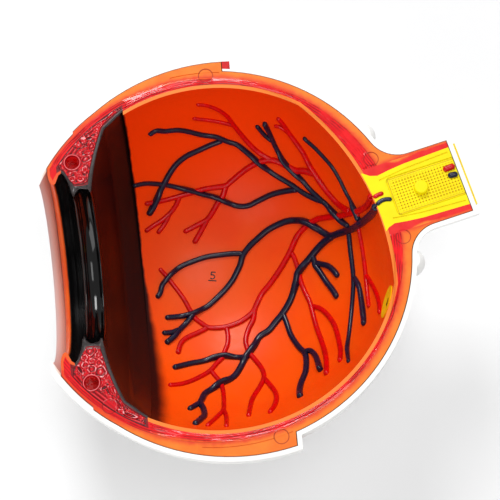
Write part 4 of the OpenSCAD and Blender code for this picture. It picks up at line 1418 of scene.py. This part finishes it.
@dataclass
class ChoroidRelief:
    """Brushed ridges that run along the vascular layer on the cut face."""

    paints: PaintBox
    retina_wall: float = 1.3
    rows: int = 900
    columns: int = 34
    tallest: float = 0.42
    clearance: float = 0.02
    margin: float = 0.06
    lanes_across: float = 2.3
    around_mark: Band = (2.6, 3.4)
    middle_radius: float = 65.0
    reach_degrees: float = 114.0

    def build(self) -> None:
        """Makes the sheet on the nose side and the one on the temple side of the nerve."""
        middle = GLOBE.nerve_angle
        gap = math.asin((GLOBE.sheath_radius + 0.4) / self.middle_radius)
        end = math.radians(self.reach_degrees)
        self.sheet("choroid_relief_nasal", middle + gap, end)
        self.sheet("choroid_relief_temporal", -end, middle - gap)

    def inner_reach(self, way: np.ndarray) -> np.ndarray:
        """Reach of the bowl's outside along each direction from the layer's centre.

        A ray meets a circle where the square of its reach, less twice its way to the circle's centre,
        is the radius squared less the squared distance of the centres; the nearer circle counts.

        Args:
            way: unit directions in plan.

        Returns:
            The reach along each.
        """
        start = np.array(GLOBE.choroid_centre[:2])
        reaches = []
        for centre, radius in BOWL.spheres():
            off = start - centre[:2]
            part = way @ off
            reaches.append(-part + np.sqrt(part**2 - off @ off + (radius + self.retina_wall) ** 2))
        return np.minimum(*reaches)

    def sheet(self, name: str, start: float, end: float) -> None:
        """A thin sheet over the layer between two angles; its height is a run of rounded lanes.

        The lanes wander with sums of sines of the angle, swell and sink along the layer, and fade
        at the sheet's border and round the mould's marks. One bell-shaped bead runs along them all.

        Args:
            name: the piece's name.
            start: first angle.
            end: last angle.
        """
        angle = np.linspace(start, end, self.rows)
        way = np.stack([np.cos(angle), np.sin(angle)], -1)
        inner = self.inner_reach(way) + self.margin
        outer = np.full(self.rows, GLOBE.choroid_radius - self.margin)
        t = np.linspace(0.0, 1.0, self.columns)[None, :]
        reach = inner[:, None] * (1 - t) + outer[:, None] * t
        plan = way[:, None, :] * reach[..., None] + np.array(GLOBE.choroid_centre[:2])
        turn = angle[:, None]
        waves = ((0.30, 6.3, 0.7), (0.22, 17.0, 2.1), (0.10, 43.0, 0.0))
        wander = sum(tall * np.sin(often * turn + shift) for tall, often, shift in waves)
        lanes = self.lanes_across * t + wander + 0.12 * np.sin(29.0 * turn + 5.0 * t)
        ridge = np.abs(np.sin(np.pi * lanes)) ** 0.8
        swell = 0.62 + 0.38 * np.sin(11.0 * turn + 1.3 + 2.0 * t) * np.sin(5.0 * turn)
        border = np.minimum(t, 1 - t) * (outer - inner)[:, None]
        ends = np.minimum(angle - start, end - angle)[:, None] * reach
        fade = smoothstep(np.minimum(border, ends), 0.0, 0.4)
        for mark in GLOBE.marks:
            fade = fade * smoothstep(np.linalg.norm(plan - np.array(mark), axis=-1), *self.around_mark)
        bead = bell(t, 0.30 + 0.05 * wander, 0.15)
        height = self.clearance + self.tallest * fade * (0.15 + 0.45 * ridge * swell + 0.85 * bead)
        points = np.concatenate([plan, height[..., None]], -1).reshape(-1, 3)
        quads = grid_faces(self.rows, self.columns)
        a, b, c = (points[k] for k in quads[0][:3])
        if np.cross(b - a, c - a)[2] < 0:
            quads = quads[:, ::-1]
        make_piece(name, points, quads.tolist(), Body.INSERT, self.paints["choroid_red"])


# ----------------------------------------------------------------------------- lens seat


@dataclass
class LensSeat:
    """The black layer: a wide slope, the rear ridge, the lens groove, the front ridge and the iris slot."""

    paints: PaintBox
    turns: int = 220
    bevel: float = 0.12

    def seen_line(self) -> np.ndarray:
        """Visible profile, as distance ahead and radius, with the fine beads of the two ridges."""
        slope = bezier((35.795, 50.6), (40.595, 39.95), (42.295, 27.5), 26)
        rear = np.array([
            [42.55, 27.1], [42.85, 27.15], [43.0, 27.5], [43.15, 27.9], [43.3, 28.0], [43.45, 28.3],
        ])
        groove = np.array([[44.2, 28.55], [45.0, 28.75], [45.8, 28.8], [46.6, 28.65], [47.3, 28.2]])
        front = np.array([
            [47.6, 27.9], [47.75, 27.55], [47.95, 27.5], [48.1, 27.2], [48.3, 26.5], [48.55, 26.1],
            [48.8, 26.0], [48.95, 26.3], [49.1, 26.9], [49.25, 27.0], [49.4, 27.9],
        ])
        slot = np.array([
            [49.55, 28.8], [50.0, 30.4], [50.6, 32.0], [51.3, 33.6], [51.6, 34.4], [52.2, 35.1], [52.6, 35.3],
        ])
        start = np.array([[28.6, 56.69], [29.4, 56.1], [31.0, 54.7], [32.5, 53.29], [34.2, 51.9]])
        return np.vstack([start, slope, rear, groove, front, slot])

    def hidden_line(self) -> np.ndarray:
        """Back of the layer on the cut face, from the front to the rear."""
        slope = bezier((36.6, 51.2), (41.55, 40.25), (43.3, 30.1), 12)
        front = np.array([[52.55, 36.3], [51.2, 35.7], [50.4, 33.8], [48.2, 29.8], [44.9, 29.8]])
        rear = np.array([[32.9, 54.29], [28.6, 57.69]])
        return np.vstack([front, slope[::-1], rear])

    def build(self) -> None:
        """Turns the visible line half round the lens axis and closes it with the two cut faces.

        A point at distance u ahead and radius v goes to (-u, axis + v cos a, -v sin a).
        """
        line = self.seen_line()
        share = np.linspace(0.0, 1.0, self.turns)[:, None]
        lower = self.bevel / np.maximum(line[:, 1], 1.0)
        angle = lower + (np.pi - 2 * lower) * share
        seen = self.spin(line[None, :, :], angle)
        points = [seen.reshape(-1, 3)]
        faces = grid_faces(self.turns, len(line))[:, ::-1].tolist()
        count = self.turns * len(line)
        loop = np.vstack([line, self.hidden_line()])
        for end, last in ((0.0, False), (math.pi, True)):
            grown = loop.copy()
            grown[: len(line), 1] += self.bevel
            flat = self.spin(grown, np.full(len(grown), end))
            flat[:, 2] = 0.0
            points.append(flat)
            rim = np.arange(len(line) - 1)
            row = (self.turns - 1) * len(line) if last else 0
            strip = np.stack([row + rim, row + rim + 1, count + rim + 1, count + rim], -1)
            face = list(range(count, count + len(loop)))
            faces += (strip if last else strip[:, ::-1]).tolist()
            faces.append(face[::-1] if last else face)
            count += len(loop)
        paint = self.paints["pigment_black"]
        piece = make_piece("lens_seat", np.vstack(points), faces, Body.INSERT, paint)
        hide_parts("pigment_layer")

    def spin(self, line: np.ndarray, angle: np.ndarray) -> np.ndarray:
        """Places profile points at their turns about the lens axis."""
        u, v = (np.broadcast_to(line[..., k], angle.shape) for k in (0, 1))
        return np.stack([-u, GLOBE.axis_y + v * np.cos(angle), -v * np.sin(angle)], -1)


# ----------------------------------------------------------------------------- nerve


@dataclass
class NerveFace:
    """Dotted pad and round peg on the nerve's cut face."""

    paints: PaintBox
    pitch: float = 1.12
    low: float = -0.16
    corner: float = 2.0
    dot_width: float = 0.33
    dot_height: float = 0.30
    edge_drop: float = 0.25
    peg_edge: float = 0.5

    def turn(self, points: np.ndarray) -> np.ndarray:
        """Turns points from the nerve's own axes to the eye's, about Z."""
        return points @ np.array([*GLOBE.nerve_axes, (0.0, 0.0, 1.0)])

    def build(self) -> None:
        """Makes the pad and the peg."""
        self.pad()
        self.peg()

    def pad(self) -> None:
        """A plate just under the cut face: small round dots on a square net, and a soft edge.

        A dot's height falls with the squared distance from the nearest net point.
        """
        rows, columns, pitch, corner = 200, 116, self.pitch, self.corner
        start, half = GLOBE.nerve_end - GLOBE.pad_length, GLOBE.pad_width / 2
        a = np.linspace(start, GLOBE.nerve_end - 0.05, rows)
        along, across = np.meshgrid(a, np.linspace(-half, half, columns), indexing="ij")
        over_a = np.maximum(start + corner - along, 0.0)
        over_t = np.maximum(np.abs(across) - (half - corner), 0.0)
        over = np.hypot(over_a, over_t)
        pull = np.where(over > corner, corner / np.maximum(over, 1e-6), 1.0)
        along = np.where(over_a > 0, start + corner - over_a * pull, along)
        across = np.where(over_t > 0, np.sign(across) * (half - corner + over_t * pull), across)
        near_a = np.abs((along - start) / pitch - np.round((along - start) / pitch)) * pitch
        near_t = np.abs(across / pitch - 0.5 - np.round(across / pitch - 0.5)) * pitch
        edge = np.minimum(along - start, half - np.abs(across))
        dots = bell(np.hypot(near_a, near_t), 0.0, self.dot_width) * smoothstep(edge, 0.9, 1.4)
        rim = smoothstep(edge, 0.0, 0.35)
        height = self.low - self.edge_drop * (1 - rim) + self.dot_height * dots
        points = np.stack([along, across, height], -1).reshape(-1, 3)
        quads = grid_faces(rows, columns)[:, ::-1].tolist()
        paint = self.paints["nerve_dots"]
        piece = make_piece("nerve_dots", self.turn(points), quads, Body.INSERT, paint)
        # painted shade: the stored tone is low on the dots and in a groove along the pad's edge, which the
        # paint darkens
        groove = bell(edge, 0.55, 0.22)
        tint_relief(piece, np.clip(0.62 - 0.75 * dots - 0.5 * groove, 0.0, 1.0))
        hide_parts("nerve_pad")

    def peg(self) -> None:
        """A turned button: flat top, quarter-round edge, straight side."""
        radius, top, edge, root = GLOBE.peg_radius, GLOBE.peg_height, self.peg_edge, -0.3
        bend = np.linspace(0, np.pi / 2, 7)
        radii = np.concatenate([[0.001, radius / 2], radius - edge + edge * np.sin(bend), [radius, radius]])
        heights = np.concatenate([[top, top], top - edge + edge * np.cos(bend), [0.0, root]])
        points, faces = lathe(radii, heights)
        points = self.turn(points + np.array([GLOBE.peg_along, 0.0, 0.0]))
        piece = make_piece("peg_button", points, faces, Body.INSERT, self.paints["nerve_yellow"])
        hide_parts("nerve_peg")


@dataclass
class KeyNumbers:
    """Plain key numbers inked in the bowl, as thin strokes."""

    paints: PaintBox

    def build(self) -> None:
        """Writes the two numbers."""
        hook = (
            (0.9, 1.5), (-0.6, 1.5), (-0.75, 0.3), (0.1, 0.5),
            (0.8, 0.0), (0.7, -0.8), (-0.1, -1.2), (-0.9, -0.9),
        )
        five = (hook, ((-1.5, -1.9), (1.6, -1.7)))
        four = (((0.5, -1.7), (0.5, 1.7), (-1.0, -0.5), (1.2, -0.5)),)
        self.write("key_number_bowl", (-2.4, 10.4), math.radians(-12), five, 0.22, 0.0)
        self.write("key_number_macula", (60.0, -20.4), 0.0, four, 0.34, 0.36)

    def write(
        self,
        name: str,
        at: Plan,
        turn: float,
        strokes: tuple[tuple[Plan, ...], ...],
        half: float,
        lift: float,
    ) -> None:
        """Draws strokes on the tangent plane at the number's place and lays them on the bowl as ribbons.

        Args:
            name: the piece's name.
            at: the number's place in plan.
            turn: its turn about the surface's normal.
            strokes: polylines in millimetres.
            half: half width of a stroke.
            lift: height over the bowl's paint.
        """
        centre = BOWL.points(np.array([at]))
        normal = BOWL.normals(centre)[0]
        right = unit(np.cross(np.array([0.0, 1.0, 0.0]), normal)[None])[0]
        upward = np.cross(normal, right)
        c, s = math.cos(turn), math.sin(turn)
        axes = np.stack([c * right + s * upward, -s * right + c * upward])
        middle, thick, narrow = np.array(GLOBE.bowl_centre), 0.05, 0.6
        ribbons: list[Mesh] = []
        for stroke in strokes:
            line = np.array(stroke) @ axes + centre[0]
            line = resample(line, np.linspace(0, curve_length(line), 24))
            toward = unit(middle - line)
            line = middle - toward * (GLOBE.bowl_radius - lift - 0.03)
            side = unit(np.cross(unit(np.gradient(line, axis=0)), toward)) * half
            top = line + toward * thick
            ribbon = np.stack([line + side, top + side * narrow, top - side * narrow, line - side], 1)
            ribbons.append((ribbon.reshape(-1, 3), grid_faces(len(line), 4)[:, ::-1].tolist()))
        points, faces = joined(ribbons)
        make_piece(name, points, faces, Body.INSERT, self.paints["ink_black"])


# ----------------------------------------------------------------------------- CAD nodes


@dataclass
class CadDress:
    """Finishes of the CAD nodes that stay as they are."""

    paints: PaintBox

    def build(self) -> None:
        """Gives each node its finish."""
        finishes = {
            "white_shell": (
                "sclera_shell", "inferior_rectus", "inferior_oblique",
                "vortex_vein_nasal", "vortex_vein_temporal",
            ),
            "yellow_disc": ("nerve_end_disc",),
            "muscle_red": (
                "medial_rectus_end", "lateral_rectus_end", "inferior_rectus_end", "inferior_oblique_end",
            ),
            "sclera_orange": ("sclera_section",),
            "choroid_red": ("choroid",),
            "retina_orange": ("retina",),
            "ciliary_red": ("ciliary_body", "ciliary_section_nasal", "ciliary_section_temporal"),
            "limbus_orange": ("limbus_ring",),
            "sheath_red": ("nerve_sheath",),
            "nerve_yellow": ("nerve_core",),
            "macula_yellow": ("macula",),
        }
        for finish, nodes in finishes.items():
            for node in nodes:
                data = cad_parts[node].data
                data.materials.clear()
                data.materials.append(self.paints[finish])
                LOG.info("%s: %s", node, finish)


# ----------------------------------------------------------------------------- studio


@dataclass(frozen=True)
class Lamp:
    """A square soft light: where it hangs and its side, in metres, and its watts."""

    name: str
    place: Point
    size: float
    power: float


LAMPS = (
    Lamp("key_light", (-0.12, 0.72, 0.86), 0.4, 6.3),
    Lamp("fill_light", (-0.45, -0.75, 0.5), 0.6, 2.6),
    Lamp("top_light", (0.18, -0.10, 1.0), 0.45, 2.3),
)


def standing(axes: np.ndarray, place: np.ndarray) -> Matrix:
    """World matrix of something whose own axes are these rows.

    Args:
        axes: its right, up and back axes.
        place: where it stands, in metres.

    Returns:
        The matrix.
    """
    return Matrix([[*axes[:, k], place[k]] for k in range(3)] + [[0.0, 0.0, 0.0, 1.0]])


@dataclass
class Studio:
    """Camera at the photograph's angle, white table, soft lights."""

    pitch: float = 0.2871
    yaw: float = 0.0234
    roll: float = 0.0925
    distance: float = 800.0
    across: float = 12.405
    along: float = 1.963
    pixels_per_mm: float = 2.81017
    pixels: float = 500.0
    sensor: float = 36.0
    aim: Point = (0.0, 0.0, 0.05)
    table_half: float = 3.0
    table_white: Colour = (0.93, 0.93, 0.935)
    table_glow: float = 0.16
    surround: float = 0.42

    def axes(self) -> np.ndarray:
        """Camera's right, up and back axes as rows, from a roll, a yaw and a pitch of the cut face."""
        cr, sr = math.cos(self.roll), math.sin(self.roll)
        cy, sy = math.cos(self.yaw), math.sin(self.yaw)
        cp, sp = math.cos(self.pitch), math.sin(self.pitch)
        roll = np.array([[cr, -sr, 0.0], [sr, cr, 0.0], [0.0, 0.0, 1.0]])
        yaw = np.array([[cy, 0.0, -sy], [0.0, 1.0, 0.0], [sy, 0.0, cy]])
        pitch = np.array([[1.0, 0.0, 0.0], [0.0, cp, sp], [0.0, -sp, cp]])
        return pitch @ yaw @ roll

    def camera(self) -> None:
        """A long lens: its sensor spans the pixels of the square frame."""
        turn = self.axes()
        where = (turn.T @ np.array([self.across, self.along, self.distance]) + PLACE) / MM_PER_M
        data = bpy.data.cameras.new("studio_camera")
        data.sensor_width = self.sensor
        data.lens = self.sensor * self.pixels_per_mm * self.distance / self.pixels
        data.clip_start = 0.01
        data.clip_end = 20.0
        camera = bpy.data.objects.new("studio_camera", data)
        camera.matrix_world = standing(turn, where)
        bpy.context.scene.collection.objects.link(camera)
        bpy.context.scene.camera = camera

    def floor(self) -> None:
        """A wide white sheet at the object's base, that glows a little to the camera only."""
        size = self.table_half
        corners = [(-size, -size, 0.0), (size, -size, 0.0), (size, size, 0.0), (-size, size, 0.0)]
        mesh = bpy.data.meshes.new("table")
        mesh.from_pydata(corners, [], [(0, 1, 2, 3)])
        floor = bpy.data.objects.new("table", mesh)
        bpy.context.scene.collection.objects.link(floor)
        bench = NodeBench("table_white")
        diffuse = bench.node("ShaderNodeBsdfDiffuse")
        bench.feed(diffuse.inputs[0], (*self.table_white, 1.0))
        glow = bench.node("ShaderNodeEmission")
        bench.feed(glow.inputs[0], (1.0, 1.0, 1.0, 1.0))
        seen = bench.node("ShaderNodeLightPath").outputs["Is Camera Ray"]
        mix = bench.node("ShaderNodeMixShader")
        share = bench.times(seen, self.table_glow)
        for socket, value in zip(mix.inputs, (share, diffuse.outputs[0], glow.outputs[0])):
            bench.feed(socket, value)
        bench.feed(bench.node("ShaderNodeOutputMaterial").inputs[0], mix.outputs[0])
        mesh.materials.append(bench.material)

    def lamp(self, lamp: Lamp) -> None:
        """Hangs a lamp that faces the aim."""
        data = bpy.data.lights.new(lamp.name, "AREA")
        data.shape = "SQUARE"
        data.size = lamp.size
        data.energy = lamp.power
        light = bpy.data.objects.new(lamp.name, data)
        place = np.array(lamp.place)
        back = unit((place - np.array(self.aim))[None])[0]
        right = unit(np.cross(np.array([0.0, 1.0, 0.01]), back)[None])[0]
        light.matrix_world = standing(np.stack([right, np.cross(back, right), back]), place)
        bpy.context.scene.collection.objects.link(light)

    def world(self) -> None:
        """An even white surround."""
        world = bpy.data.worlds.new("surround")
        world.use_nodes = True
        background = world.node_tree.nodes["Background"]
        background.inputs[0].default_value = (1.0, 1.0, 1.0, 1.0)
        background.inputs[1].default_value = self.surround
        bpy.context.scene.world = world

    def build(self) -> None:
        """Sets up the whole studio."""
        self.camera()
        self.floor()
        self.world()
        for lamp in LAMPS:
            self.lamp(lamp)
        bpy.context.scene.view_settings.view_transform = "Standard"


def main() -> None:
    """Builds the model's looks in order."""
    logging.basicConfig(level=logging.INFO, format="%(name)s %(message)s")
    paints = PaintBox()
    paints.fill()
    for assembly in (
        CadDress(paints),
        Vasculature(paints),
        FaceVessels(paints),
        CiliaryRelief(paints),
        ChoroidRelief(paints),
        LensSeat(paints),
        NerveFace(paints),
        KeyNumbers(paints),
        Studio(),
    ):
        assembly.build()
        LOG.info("%s is built", type(assembly).__name__)


if __name__ == "__main__":
    main()
